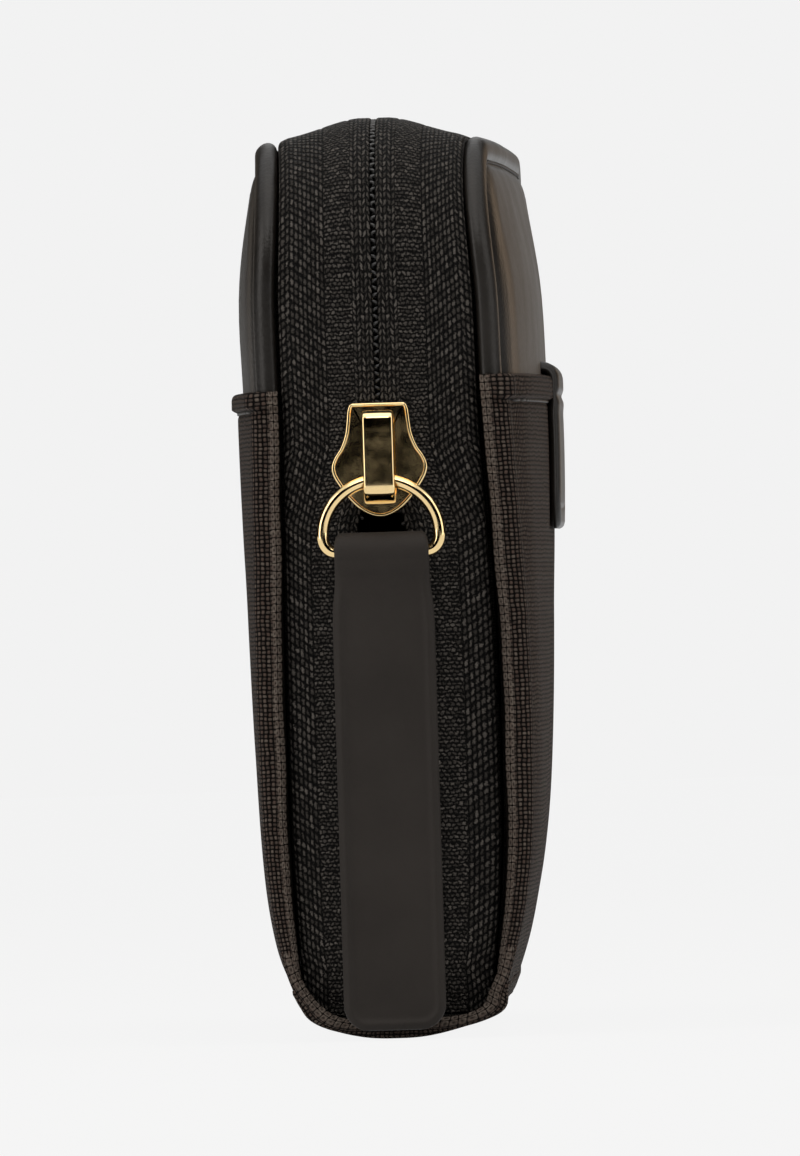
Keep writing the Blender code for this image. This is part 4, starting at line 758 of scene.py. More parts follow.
def patch_loop():
    """Strap of two leather layers folded over the hem, creased where it leaves the pocket's mouth."""
    hem_z = FRONT_HEM_TOP_Z
    low_z = 0.0537
    thick = 0.0013
    line = []
    for z in np.linspace(low_z, hem_z - 0.0006, 34):
        cloth_x = float(cover_x(1, 0.0128, 0.0, z, 1.0))
        over_hem = float(np.clip((z - hem_z + 0.0040) / 0.0014, 0, 1))
        over_hem = over_hem * over_hem * (3 - 2 * over_hem)
        line.append((cloth_x + 0.00074 + 0.00012 * over_hem, z))
    loop = 0.00125
    centre_x = line[-1][0] - loop
    for angle in np.linspace(0, math.pi, 16)[1:]:
        line.append((centre_x + loop * math.cos(angle), hem_z - 0.0003 + loop * 0.98 * math.sin(angle)))
    line += [(centre_x - loop - 0.00002, hem_z - 0.0005 - drop) for drop in (0.0010, 0.0024)]
    line = smooth_open(np.array(line), 96)
    lengths = np.concatenate([[0], np.cumsum(np.hypot(np.diff(line[:, 0]), np.diff(line[:, 1])))])
    fine = np.concatenate([edge_steps(0.0007), np.linspace(0.001, lengths[-1] - 0.0004, 84), [lengths[-1]]])
    line = np.stack([np.interp(fine, lengths, line[:, k]) for k in (0, 1)], axis=1)
    cross = [0.015 - step for step in edge_steps(0.0007)] + [0.0140, 0.0134, 0.0130, 0.0127, 0.0124, 0.0120, 0.0114]
    cross += list(np.linspace(0.0100, 0.0, 6))
    cross = np.array(cross + [-value for value in reversed(cross[:-1])])
    s = np.repeat(fine[:, None], len(cross), axis=1)
    y = np.repeat(cross[None, :], len(line), axis=0)
    corner = 0.0045
    inside_s = np.maximum(corner - s, 0)
    limit = 0.015 - corner + np.sqrt(np.maximum(corner ** 2 - inside_s ** 2, 1e-12))
    y = y * (limit / 0.015)
    edge = np.minimum(limit - np.abs(y), s)
    sag = cover_x(1, 0.0128, y, np.full_like(y, 0.062), 1.0) - float(cover_x(1, 0.0128, 0.0, 0.062, 1.0))
    middle = np.stack([np.repeat(line[:, 0][:, None], len(cross), 1) + sag, y,
                       np.repeat(line[:, 1][:, None], len(cross), 1)], axis=2)
    crease_at = float(np.interp(hem_z - 0.0021, line[:60, 1], fine[:60]))
    groove = 0.8 * np.exp(-((edge - 0.0023) / 0.00026) ** 2) + 1.6 * np.exp(-((s - crease_at) / 0.00045) ** 2)
    half = (thick / 2 - 0.00016 * groove) * rounding(edge, 0.0008)
    half = np.maximum(half, 0)
    ahead = np.gradient(line, axis=0)
    outward = np.zeros_like(middle)
    outward[..., 0] = ahead[:, 1][:, None]
    outward[..., 2] = -ahead[:, 0][:, None]
    builder = Builder()
    shell_grid(builder, middle, half, np.stack([s, y, y], axis=2) * 1000, outward)
    item = builder.make("front_loop", leather, "front_cover", ("front_patch",))
    return item


# Zip

def chain_gap(distance, open_gap, travel_gap, closed_gap):
    """Half the gap between the zip's halves at a distance along it."""
    wide = SLIDER_TOP_Z - SLIDER_LENGTH - TAPE_BOTTOM_Z
    far_stop = ZIP_LENGTH - (0.0300 - TAPE_BOTTOM_Z)
    at = [0, wide - 0.001, wide + 0.0075, far_stop - 0.002, far_stop + 0.001, far_stop + 0.006, ZIP_LENGTH]
    return np.interp(distance, at, [open_gap, open_gap, closed_gap, closed_gap, travel_gap, travel_gap, open_gap])


TAPE_LINE = (  # distance from the middle plane and height of the tape's middle, in millimetres
    (1.6, 2.36), (2.4, 2.26), (3.2, 2.06), (4.0, 1.80), (4.8, 1.52), (5.7, 1.17), (6.6, 0.86), (7.5, 0.57), (8.3, 0.36),
    (8.9, 0.21), (9.35, 0.0), (9.52, -0.42), (9.50, -1.1), (9.42, -2.2), (9.38, -3.6), (9.38, -5.3),
)


TAPE_FOOT = 0.0032


def zip_tape(prefix, side):
    first, last = -TAPE_FOOT, ZIP_LENGTH + TAPE_FOOT
    distances = np.unique(np.concatenate([
        first + np.array(edge_steps(0.00022)), np.linspace(first + 0.0006, last - 0.0006, 440),
        last - np.array(edge_steps(0.00022))]))
    gap = chain_gap(distances, 0.0025, 0.0012, 0.00026)
    inner = 0.0016
    flat_shares = np.concatenate([np.array(edge_steps(0.00026)) / 0.005, np.linspace(0.075, 1.0, 14)])
    fine = []
    for (x0, n0), (x1, n1) in zip(TAPE_LINE[:-1], TAPE_LINE[1:]):
        parts = max(int(math.hypot(x1 - x0, n1 - n0) / 0.20), 1)
        fine += [(x0 + (x1 - x0) * k / parts, n0 + (n1 - n0) * k / parts) for k in range(1, parts + 1)]
    fine = np.array([(1.2, 2.38), (1.4, 2.37), (1.6, 2.36)] + fine + [(9.38, -5.5), (9.38, -5.7)]) * 0.001
    kernel = np.array([1, 2, 3, 2, 1]) / 9
    fine = np.stack([np.convolve(fine[:, k], kernel, "same")[3:-2] for k in (0, 1)], axis=1)
    rows, columns = len(distances), len(flat_shares) + len(fine)
    x = np.zeros((rows, columns))
    n = np.zeros((rows, columns))
    # below the slider the halves stand apart, so the whole plateau slides outwards
    widest = np.maximum(gap - 0.00026, 0)
    x[:, :len(flat_shares)] = gap[:, None] + flat_shares[None] * (inner + 0.8 * widest[:, None] - gap[:, None])
    n[:, :len(flat_shares)] = 0.00236
    fade = np.clip((0.0095 - fine[:, 0]) / (0.0095 - inner), 0, 1)
    x[:, len(flat_shares):] = fine[None, :, 0] + 0.8 * widest[:, None] * fade[None] ** 1.2
    n[:, len(flat_shares):] = fine[None, :, 1]
    # the foot turns inside, the outer corners first
    for from_end in (distances - first, last - distances):
        reach = 0.0048 + 0.0052 * np.clip(x / 0.0095, 0, 1) ** 2
        foot = np.clip(from_end[:, None] / reach, 0, 1)
        n = n - 0.0028 * (1 - foot) ** 2 * (1 + 2 * foot) * np.clip((n + 0.0008) / 0.0030, 0, 1)
    # along the top the tape lies a little lower
    n = n - 0.00028 * zip_path(distances)[3][:, None] * np.clip((n + 0.0008) / 0.0030, 0, 1)
    across = np.concatenate([np.zeros((rows, 1)), np.cumsum(np.hypot(np.diff(x, axis=1), np.diff(n, axis=1)), axis=1)],
                            axis=1)
    yarn_across = across + 0.00016
    along = np.repeat(distances[:, None], columns, axis=1)
    middle = swept(side, along, x, n)
    ridge = np.zeros_like(yarn_across)
    for groove_at, depth in ((0.00255, 0.00009), (0.00530, 0.00007), (0.0092, 0.00006)):
        ridge -= depth * np.exp(-((yarn_across - groove_at) / 0.00016) ** 2)
    half = 0.00024 * rounding(across, 0.00026) * rounding(along - first, 0.00022) * rounding(last - along, 0.00022)
    y, z, out_y, out_z = zip_path(along)
    outward = np.stack([np.full_like(out_y, side) * 0.9, out_y, out_z], axis=2)
    inside = n < -0.0002
    outward[inside] = outward[inside] * (1, 0.1, 0.1)
    builder = Builder()
    weave = np.stack([yarn_across * 1000, along * 1000, np.zeros_like(along)], axis=2)
    shell_grid(builder, middle, half, weave, outward, ridge)
    tape = builder.make(prefix + "_tape", tape_cloth, prefix + "_cover", (prefix + "_zip_tape",))
    return tape, (float(np.mean(across[:, -1])), last - first)


def zip_coil(prefix, side):
    """Nylon coil: a flat spiral under the tape's edge, one turn for each tooth; its tips cross in the slit."""
    start, end = 0.0545 - TAPE_BOTTOM_Z, ZIP_LENGTH - (0.0303 - TAPE_BOTTOM_Z)
    pitch = 0.00152
    teeth = int((end - start) / pitch)
    per_turn = 20
    t = np.arange(teeth * per_turn + 1) / per_turn
    distance = start + t * pitch + (0.0 if side > 0 else pitch / 2)
    phase = 2 * math.pi * t
    gap = chain_gap(distance, 0.0020, 0.0011, -0.00042)
    reach = 0.00105
    x = gap + 0.00024 + reach * (1 - np.cos(phase))
    # the tips stand up into the slit, where the light reaches them
    tip = np.clip(np.cos(phase), 0, 1) ** 3
    n = 0.00134 + 0.00058 * np.sin(phase) + 0.00058 * tip
    points = swept(side, distance, x, n)
    builder = Builder()
    builder.tube(points, 0.00019, 7)
    coil = builder.make(prefix + "_coil", nylon, prefix + "_cover", (prefix + "_zip_coil",))
    return coil


# Slider, ring and tab

def smooth_outline(points, count):
    """Closed smooth curve through points, as count points at even distances."""
    points = np.asarray(points, float)
    size = len(points)
    found = []
    for index in range(size):
        p0, p1, p2, p3 = (points[(index + k - 1) % size] for k in range(4))
        for t in np.linspace(0, 1, 12, endpoint=False):
            found.append(0.5 * ((2 * p1) + (-p0 + p2) * t + (2 * p0 - 5 * p1 + 4 * p2 - p3) * t ** 2
                                + (-p0 + 3 * p1 - 3 * p2 + p3) * t ** 3))
    found = np.array(found + [found[0]])
    lengths = np.concatenate([[0], np.cumsum(np.linalg.norm(np.diff(found, axis=0), axis=1))])
    at = np.linspace(0, lengths[-1], count, endpoint=False)
    return np.stack([np.interp(at, lengths, found[:, k]) for k in (0, 1)], axis=1)


def inset_outline(outline, distance):
    ahead = np.roll(outline, -1, axis=0) - np.roll(outline, 1, axis=0)
    normal = np.stack([ahead[:, 1], -ahead[:, 0]], axis=1)
    normal /= np.linalg.norm(normal, axis=1, keepdims=True)
    area = np.sum(outline[:, 0] * np.roll(outline[:, 1], -1) - np.roll(outline[:, 0], -1) * outline[:, 1])
    return outline - normal * distance * (1 if area > 0 else -1)


SLIDER_SHARES = (
    (0.00, 0.42), (0.005, 0.56), (0.05, 0.63), (0.15, 0.66), (0.27, 0.70), (0.385, 0.80), (0.47, 0.93), (0.55, 1.00),
    (0.63, 0.97), (0.72, 0.85), (0.83, 0.66), (0.92, 0.45), (0.98, 0.22), (1.00, 0.0),
)


def plate(builder, outline, low, high, place, rim=0.00034, dish=0.00012):
    """Slider plate with rounded edges; its upper face is dished inside a raised rim."""
    levels = [(0.0007, low), (0.00035, low), (0.00012, low + 0.00005), (0.0, low + 0.00022),
              (0.0, high - 0.00020), (0.00006, high - 0.00006), (0.00016, high), (0.00019, high), (rim - 0.00003, high),
              (rim, high - 0.00001), (rim + 0.00006, high - dish), (rim + 0.00008, high - dish),
              (rim + 0.0006, high - dish)]
    rings = []
    for distance, height in levels:
        ring = inset_outline(outline, distance)
        rings.append(np.array([place(a, b, height) for a, b in ring]))
    centre_low = np.array([place(*np.mean(outline, axis=0), low)])
    centre_high = np.array([place(*np.mean(outline, axis=0), high - dish)])
    points = np.concatenate([centre_low, np.concatenate(rings), centre_high])
    count = len(outline)
    faces = [(0, 1 + (k + 1) % count, 1 + k) for k in range(count)]
    for row in range(len(rings) - 1):
        for k in range(count):
            after = (k + 1) % count
            low_row, high_row = 1 + row * count, 1 + (row + 1) * count
            faces.append((low_row + k, low_row + after, high_row + after, high_row + k))
    last = 1 + (len(rings) - 1) * count
    faces += [(last + k, last + (k + 1) % count, len(points) - 1) for k in range(count)]
    builder.add(points, faces)


def slider_place(across, along, height):
    return across, -HALF_LENGTH - height, SLIDER_TOP_Z - along


def slider():
    shares = [(w * SLIDER_HALF_WIDTH, s * SLIDER_LENGTH) for s, w in SLIDER_SHARES]
    outline = shares + [(-a, b) for a, b in reversed(shares[:-1])]
    outline = smooth_outline(outline, 120)
    builder = Builder()
    plate(builder, outline, PLATE_INNER_N, PLATE_OUTER_N, slider_place)
    lower = Builder()
    plate(builder, outline * (0.96, 1.0), -0.0008 + 0.0002, 0.0002, slider_place, dish=0.0)
    post = [(0.0, 0.0073), (0.00022, 0.0082), (0.00028, 0.0095), (0.00018, 0.0110), (0.0, 0.0112)]
    post = smooth_outline(post + [(-a, b) for a, b in reversed(post[1:-1])], 24)
    rings = [np.array([slider_place(a, b, height) for a, b in post]) for height in (0.0001, PLATE_INNER_N + 0.0001)]
    builder.grid(np.array(rings), wrap=True, close=True)
    body = builder.make("slider_plates", gold, "slider", ("slider_body",), sharp=50)
    strap = Builder()
    half = 0.00165
    # (along, height) line of the crown's outer face and its thickness
    line = [(0.00085, 0.0040), (0.00082, 0.0052), (0.00095, 0.0062), (0.00135, 0.0068), (0.0020, 0.00702),
            (0.0034, 0.00705), (0.0050, 0.00705), (0.0066, 0.00705), (0.0080, 0.00705), (0.0087, 0.00705),
            (0.0090, 0.00704), (0.0093, 0.00700), (0.00955, 0.00688), (0.00975, 0.00668), (0.0099, 0.0064),
            (0.0102, 0.0058), (0.01045, 0.0052), (0.01060, 0.0046), (0.01070, 0.0040)]
    line = np.array(line)
    line = smooth_open(line, 110)
    normal = np.gradient(line, axis=0)
    normal = np.stack([-normal[:, 1], normal[:, 0]], axis=1)
    normal /= np.linalg.norm(normal, axis=1, keepdims=True)
    if normal[len(normal) // 2, 1] < 0:
        normal = -normal
    profile = [(-1.0, -0.0007), (-1.0, -0.00022), (-0.96, -0.00009), (-0.88, 0.0), (-0.5, 0.00003), (0.0, 0.00004),
               (0.5, 0.00003), (0.88, 0.0), (0.96, -0.00009), (1.0, -0.00022), (1.0, -0.0007), (0.5, -0.00074),
               (0.0, -0.00074), (-0.5, -0.00074)]
    sections = []
    for (along, height), (na, nh) in zip(line, normal):
        sections.append([slider_place(w * half, along + na * d, height + nh * d) for w, d in profile])
    strap.grid(np.array(sections), wrap=True, close=True)
    cap = strap.make("slider_crown", gold, "slider", ("slider_cap",), sharp=45)


def smooth_open(points, count):
    """Open smooth curve through points, as count points."""
    points = np.asarray(points, float)
    padded_points = np.concatenate([[2 * points[0] - points[1]], points, [2 * points[-1] - points[-2]]])
    found = []
    for index in range(len(points) - 1):
        p0, p1, p2, p3 = padded_points[index:index + 4]
        for t in np.linspace(0, 1, 16, endpoint=False):
            found.append(0.5 * ((2 * p1) + (-p0 + p2) * t + (2 * p0 - 5 * p1 + 4 * p2 - p3) * t ** 2
                                + (-p0 + 3 * p1 - 3 * p2 + p3) * t ** 3))
    found = np.array(found + [points[-1]])
    lengths = np.concatenate([[0], np.cumsum(np.linalg.norm(np.diff(found, axis=0), axis=1))])
    at = np.linspace(0, lengths[-1], count)
    return np.stack([np.interp(at, lengths, found[:, k]) for k in range(found.shape[1])], axis=1)


def ring():
    wide = 0.0062
    height = RING_PIVOT_Z - RING_BEND_Z
    half = []
    for degrees in range(0, 91, 6):
        angle = math.radians(degrees)
        half.append((wide * math.sin(angle), RING_BEND_Z + height * math.cos(angle)))
    half += [(0.00612, 0.05285), (0.00588, 0.05232), (0.00545, 0.05190), (0.0048, RING_BAR_Z)]
    half += [(0.0036, RING_BAR_Z), (0.0018, RING_BAR_Z), (0.0, RING_BAR_Z)]
    whole = half + [(-x, z) for x, z in reversed(half[1:-1])]
    outline = smooth_outline(whole, 168)
    builder = Builder()
    line = np.stack([outline[:, 0], np.full(len(outline), RING_Y), outline[:, 1]], axis=1)
    builder.tube(line, 0.00064, 16, closed=True, squeeze=(0, 1, 0))
    item = builder.make("d_ring", gold, "pull_ring", ("pull_ring",))


def tab():
    """Leather strap folded round the ring's bar, both layers sewn together below."""
    layer = 0.00118
    half_layer = layer / 2
    bar = RING_BAR_Z
    loop = 0.00064 + 0.00018 + half_layer
    bottom = 0.0010
    gap = 0.00002
    front = []
    for z in np.concatenate([[bottom], np.linspace(bottom + 0.002, 0.0470, 40)]):
        front.append((half_layer + gap, z))
    side = list(front)
    side += [(half_layer + gap + 0.00006, 0.0482), (half_layer + gap + 0.00022, 0.0492),
             (half_layer + gap + 0.00052, 0.0502)]
    for angle in np.linspace(math.radians(-28), math.radians(90), 16):
        side.append((loop * math.cos(angle), bar + loop * 1.06 * math.sin(angle)))
    line = np.array(side + [(-n, z) for n, z in reversed(side[:-1])])
    line = smooth_open(line, 420)
    lengths = np.concatenate([[0], np.cumsum(np.hypot(np.diff(line[:, 0]), np.diff(line[:, 1])))])
    whole = lengths[-1]
    one = np.concatenate([edge_steps(0.0004), np.linspace(0.0006, 0.0045, 20), np.linspace(0.0055, 0.0440, 46)])
    head = np.linspace(0.0446, whole - 0.0446, 76)
    at = np.concatenate([one, head, whole - one[::-1]])
    line = np.stack([np.interp(at, lengths, line[:, k]) for k in (0, 1)], axis=1)
    tangent = np.gradient(line, axis=0)
    normal = np.stack([tangent[:, 1], -tangent[:, 0]], axis=1)
    normal /= np.linalg.norm(normal, axis=1, keepdims=True)
    wide, narrow, radius = 0.00540, 0.00500, 0.0027
    z = line[:, 1]
    plain = np.interp(z, [0.0440, 0.0461, 0.0478, 0.0492], [wide, wide - 0.00009, narrow + 0.00009, narrow])
    rise = np.clip(z - bottom, 0, radius)
    reach = plain - radius + np.sqrt(np.maximum(radius ** 2 - (radius - rise) ** 2, 0))
    above = np.clip((z - (bar + 0.0004)) / 0.0018, 0, 1)
    reach = reach - 0.00075 * above ** 2.2
    cut = np.array([0.0, 0.00004, 0.00014, 0.0003, 0.0005, 0.00065, 0.0008, 0.00092, 0.00104, 0.00116, 0.0013, 0.0015,
                    0.0018, 0.0023, 0.0030])
    columns = []
    for width in reach:
        steps = cut * min(1.0, width / 0.0036)
        columns.append(np.concatenate([-width + steps, [0.0], (width - steps)[::-1]]))
    x = np.array(columns)
    z_grid = np.repeat(z[:, None], x.shape[1], axis=1)
    s = np.repeat(at[:, None], x.shape[1], axis=1)
    edge = np.minimum(reach[:, None] - np.abs(x), np.minimum(s, whole - s))
    corner_x = np.maximum(np.abs(x) - (wide - radius), 0)
    corner_z = np.maximum(radius - (z_grid - bottom), 0)
    edge = np.where((corner_x > 0) & (corner_z > 0), np.minimum(radius - np.hypot(corner_x, corner_z) + 0.00002, edge), edge)
    edge = np.maximum(edge, 0)
    rim = np.exp(-((edge - 0.00068) / 0.00026) ** 2)
    face = np.clip((edge - 0.00085) / 0.0005, 0, 1)
    below_head = np.clip((0.0500 - z_grid) / 0.004, 0, 1)
    relief = 0.00017 * rim * below_head - 0.00014 * face * below_head
    middle = np.stack([x, RING_Y - np.repeat(line[:, 0][:, None], x.shape[1], 1), z_grid], axis=2)
    push = np.stack([np.zeros_like(x), -np.repeat(normal[:, 0][:, None], x.shape[1], 1),
                     np.repeat(normal[:, 1][:, None], x.shape[1], 1)], axis=2)
    thick = rounding(edge, 0.0007)
    outer = middle + push * (half_layer * (0.25 + 0.75 * thick) * np.sign(thick) + relief)[..., None]
    inner_face = middle - push * half_layer
    section = np.concatenate([outer, inner_face[:, ::-1]], axis=1)
    builder = Builder()
    builder.grid(section, np.stack([section[..., 0], section[..., 2], section[..., 1]], axis=2) * 1000,
                 wrap=True, close=True)
    item = builder.make("leather_tab", matte_leather, "pull_tab", ("pull_tab",))
    return item


# Spine

def foot_lean(side, y, z):
    """How far the foot of the cloth stands out of its plain line, so that it meets the cover's cloth."""
    out = (splay(side, y, z) + bow(y, z) + crown(side, y, z)) * np.clip((z - 0.0012) / 0.0024, 0, 1)
    if side > 0:
        out = out + 0.0010 * np.exp(-((z - 0.0028) / 0.0013) ** 2) * np.clip(-y / HALF_LENGTH, 0, 1) ** 2
    return out


END_OUTER = (  # outer and inner line of the folded strip at each end of the spine, in millimetres
    (0.0, 0.2), (3.0, 0.26), (5.0, 0.62), (6.8, 1.05), (8.3, 1.62), (9.4, 2.3), (10.1, 2.9), (10.6, 3.7), (10.9, 4.7),
    (11.15, 5.9), (11.4, 7.6), (11.6, 9.4),
)
END_INNER = (
    (0.0, 2.2), (3.0, 2.2), (5.2, 2.3), (6.8, 2.7), (8.1, 3.5), (9.0, 4.6), (9.55, 5.8), (9.85, 6.9), (9.98, 7.9),
    (10.05, 8.8), (10.1, 9.6),
)


def spine_cloth_half(prefix, side):
    """Half of the spine's cloth; at each end a folded strip rises in a U to the cover's cloth."""
    low_line = [(0.0, 0.00028), (0.0015, 0.00030), (0.0030, 0.00042), (0.0045, 0.00068), (0.0058, 0.00100),
                (0.0070, 0.00136), (0.0081, 0.00172), (0.0091, 0.00222), (0.0098, 0.00276), (0.0103, 0.0034),
                (0.01062, 0.0040), (0.01085, 0.0047), (0.01108, 0.0054)]
    line = smooth_open(np.array(low_line), 40)
    steps = edge_steps(0.00022)
    ys = np.array([0.0630 - s for s in steps] + list(np.linspace(0.0620, 0, 48)))
    ys = np.concatenate([ys, -ys[:-1][::-1]])
    y = np.repeat(ys[None], len(line), axis=0)
    x = np.repeat(line[:, 0][:, None], len(ys), axis=1)
    z = np.repeat(line[:, 1][:, None], len(ys), axis=1)
    x = x + foot_lean(side, y, z)
    middle = np.stack([side * x, y, z], axis=2)
    edge = 0.0630 - np.abs(y)
    lengths = np.concatenate([[0], np.cumsum(np.linalg.norm(np.diff(line, axis=0), axis=1))])
    rim = np.repeat((lengths[-1] - lengths)[:, None], len(ys), axis=1)
    half = 0.00024 * rounding(edge, 0.00022) * rounding(rim + 0.00002, 0.0002)
    outward = np.zeros_like(middle)
    outward[..., 2] = -1
    outward[..., 0] = side * 0.8
    builder = Builder()
    u = np.repeat(lengths[:, None], len(ys), axis=1)
    shell_grid(builder, middle, half, np.stack([y * 1000, u * 1000, u * 0], axis=2), outward)
    outer = smooth_open(np.array(END_OUTER) * 0.001, 60)
    inner = smooth_open(np.array(END_INNER) * 0.001, 60)
    run = np.concatenate([[0], np.cumsum(np.linalg.norm(np.diff((outer + inner) / 2, axis=0), axis=1))])
    for y_side in (-1, 1):
        across = np.array([0.0, 0.015, 0.05, 0.12, 0.22, 0.36, 0.5, 0.64, 0.78, 0.88, 0.95, 0.985, 1.0])
        points = outer[:, None] + (inner - outer)[:, None] * across[None, :, None]
        width = np.linalg.norm(inner - outer, axis=1)[:, None]
        to_outer, to_inner = across[None] * width, (1 - across)[None] * width
        xx, zz = points[..., 0], points[..., 1]
        xx = xx + foot_lean(side, np.full_like(xx, y_side * HALF_LENGTH), zz)
        to_end = np.repeat((run[-1] - run)[:, None], len(across), axis=1)
        fold = np.clip((0.0013 - to_inner) / 0.0003, 0, 1)
        waves = 0.00005 * np.sin(run[:, None] / 0.0019 + y_side)
        yy = y_side * (0.06322 + 0.00022 * fold + waves * fold - 0.00040 * np.clip((zz - 0.0055) / 0.0035, 0, 1))
        grid = np.stack([side * xx, yy, zz], axis=2)
        out = np.zeros_like(grid)
        out[..., 1] = y_side
        half = (0.00024 + 0.00018 * fold) * rounding(to_inner, 0.0004) * rounding(to_outer + 0.00006, 0.0003)
        half = half * rounding(to_end, 0.0016)
        coords = np.stack([to_inner * 1000, np.repeat(run[:, None], len(across), 1) * 1000, fold], axis=2)
        shell_grid(builder, grid, half, coords, out)
    item = builder.make(f"spine_cloth_{prefix}_half", coarse_cloth, None, ("spine_cloth",))
    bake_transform(item)
    return item


# Flat layers inside

def layer_points(half_length, low_z, high_z, radius, edge_radius):
    """Grid (rows, columns) of y and z over a panel with rounded top corners, and the distance to its edge."""
    edge_rows = edge_steps(edge_radius)
    rows = [(half_length, low_z + step) for step in edge_rows]
    rows += [(half_length, z) for z in np.linspace(low_z + edge_radius * 1.6, high_z - radius, 30)]
    for angle in np.linspace(0, math.pi / 2, 16)[1:]:
        rows.append((half_length - radius * (1 - math.cos(angle)), high_z - radius * (1 - math.sin(angle))))
    columns = np.array([0.0] + [edge_radius * k for k in (0.08, 0.25, 0.55, 1.0, 2.0, 3.2, 4.6, 7.0)])
    y_rows, z_rows = [], []
    for half, z in rows:
        inner = np.linspace(half - columns[-1] - 0.002, 0, 16)
        one = np.concatenate([half - columns, inner])
        y_rows.append(np.concatenate([one, -one[:-1][::-1]]))
        z_rows.append(np.full(2 * len(one) - 1, z))
    y, z = np.array(y_rows), np.array(z_rows)
    corner_y = np.maximum(np.abs(y) - (half_length - radius), 0)
    corner_z = np.maximum(z - (high_z - radius), 0)
    edge = np.minimum(np.minimum(half_length - np.abs(y), z - low_z), high_z - z)
    edge = np.where((corner_y > 0) & (corner_z > 0), radius - np.hypot(corner_y, corner_z), edge)
    return y, z, np.maximum(edge, 0)


def cover_layer(name, prefix, node, flat_x, thick, half_length, low_z, high_z, radius, finish, border=None):
    side = SIDES[prefix]
    y, z, edge = layer_points(half_length, low_z, high_z, radius, 0.0005)
    x = cover_x(side, flat_x, y, z, 0.45)
    middle = np.stack([side * x, y, z], axis=2)
    half = (thick / 2) * rounding(edge + 0.000004, min(thick / 2, 0.0005)) * np.clip(tuck(z) / 0.8, 0.3, 1)
    if border:
        half = half - 0.00006 * np.exp(-((edge - border) / 0.0002) ** 2)
    outward = np.zeros_like(middle)
    outward[..., 0] = -side
    builder = Builder()
    shell_grid(builder, middle, half, np.stack([y, z, y * 0], axis=2) * 1000, outward)
    item = builder.make(name, finish, prefix + "_cover", (node,))
    return item


def border_thread(name, body, half_length, low_z, high_z, radius, inset, place):
    """Row of stitches round the sides and top of a panel; place turns (y, z) into x on its face."""
    half, top, bend = half_length - inset, high_z - inset, max(radius - inset, 0.0008)
    angles = np.linspace(0, math.pi / 2, 9)
    near = [(-half, low_z + inset)]
    near += [(-half + bend - bend * math.cos(a), top - bend + bend * math.sin(a)) for a in angles]
    path = np.array(near + [(-y, z) for y, z in reversed(near)])
    lengths = np.concatenate([[0], np.cumsum(np.hypot(np.diff(path[:, 0]), np.diff(path[:, 1])))])
    pitch = 0.0028
    steps = np.linspace(-1, 1, 7)
    builder = Builder()
    for index in range(int(lengths[-1] / pitch)):
        at = (index + 0.5) * pitch + steps * pitch * 0.38
        y, z = np.interp(at, lengths, path[:, 0]), np.interp(at, lengths, path[:, 1])
        side, x = place(y, z)
        x = x + 0.00010 * (1 - steps ** 2) - 0.00014 * np.abs(steps) ** 6
        builder.tube(np.stack([side * x, y, z], axis=1), 0.00014, 6, squeeze=(1, 0, 0))
    return builder.make(name, thread, body)


def flat_sheet(name, finish, body, node, middle, edge, thick, weave, outward):
    """Closed cloth sheet round a middle surface, with rounded edges."""
    half = (thick / 2) * rounding(edge + 0.000004, thick / 2)
    builder = Builder()
    shell_grid(builder, middle, half, weave, outward)
    item = builder.make(name, finish, body, (node,))
    return item


def clamp(name, body):
    """Small metal stop pressed round the tape's edge, with two pressed grooves, in a stop's place."""
    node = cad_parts[name]
    corners = np.array([tuple(node.matrix_world @ vertex.co) for vertex in node.data.vertices])
    low, high = corners.min(axis=0), corners.max(axis=0)
    if high[2] < 0.06:
        high[2] -= 0.0007
    centre, half = (low + high) / 2, (high - low) / 2
    radius = 0.45 * min(half)
    axis = int(np.argmax(half))
    others = [k for k in range(3) if k != axis]
    rings = []
    shares = np.array([0, 0.04, 0.12, 0.22, 0.30, 0.36, 0.42, 0.5, 0.58, 0.64, 0.70, 0.78, 0.88, 0.96, 1.0])
    for share in shares:
        end = min(share, 1 - share) * 2 * half[axis]
        shrink = radius * (1 - math.sqrt(max(1 - (1 - min(end / radius, 1)) ** 2, 0)))
        shrink += 0.00007 * (math.exp(-((share - 0.36) / 0.05) ** 2) + math.exp(-((share - 0.64) / 0.05) ** 2))
        ring = []
        for corner in range(4):
            sign_a, sign_b = ((1, 1), (-1, 1), (-1, -1), (1, -1))[corner]
            for angle in np.linspace(0, math.pi / 2, 5):
                turn = angle + corner * math.pi / 2
                a = sign_a * (half[others[0]] - radius) + (radius - shrink) * math.cos(turn)
                b = sign_b * (half[others[1]] - radius) + (radius - shrink) * math.sin(turn)
                point = centre.copy()
                point[others[0]] += a
                point[others[1]] += b
                point[axis] += (2 * share - 1) * half[axis]
                ring.append(point)
        rings.append(ring)
    builder = Builder()
    builder.grid(np.array(rings), wrap=True, close=True)
    item = builder.make(name + "_clamp", gold, body, (name,), sharp=60)


# Coin pocket between the covers

PAGE_HALF_LENGTH = 0.0520
PAGE_LOW_Z, PAGE_TOP_Z = 0.0027, 0.0780
PAGE_MIDDLE_X = 0.00275


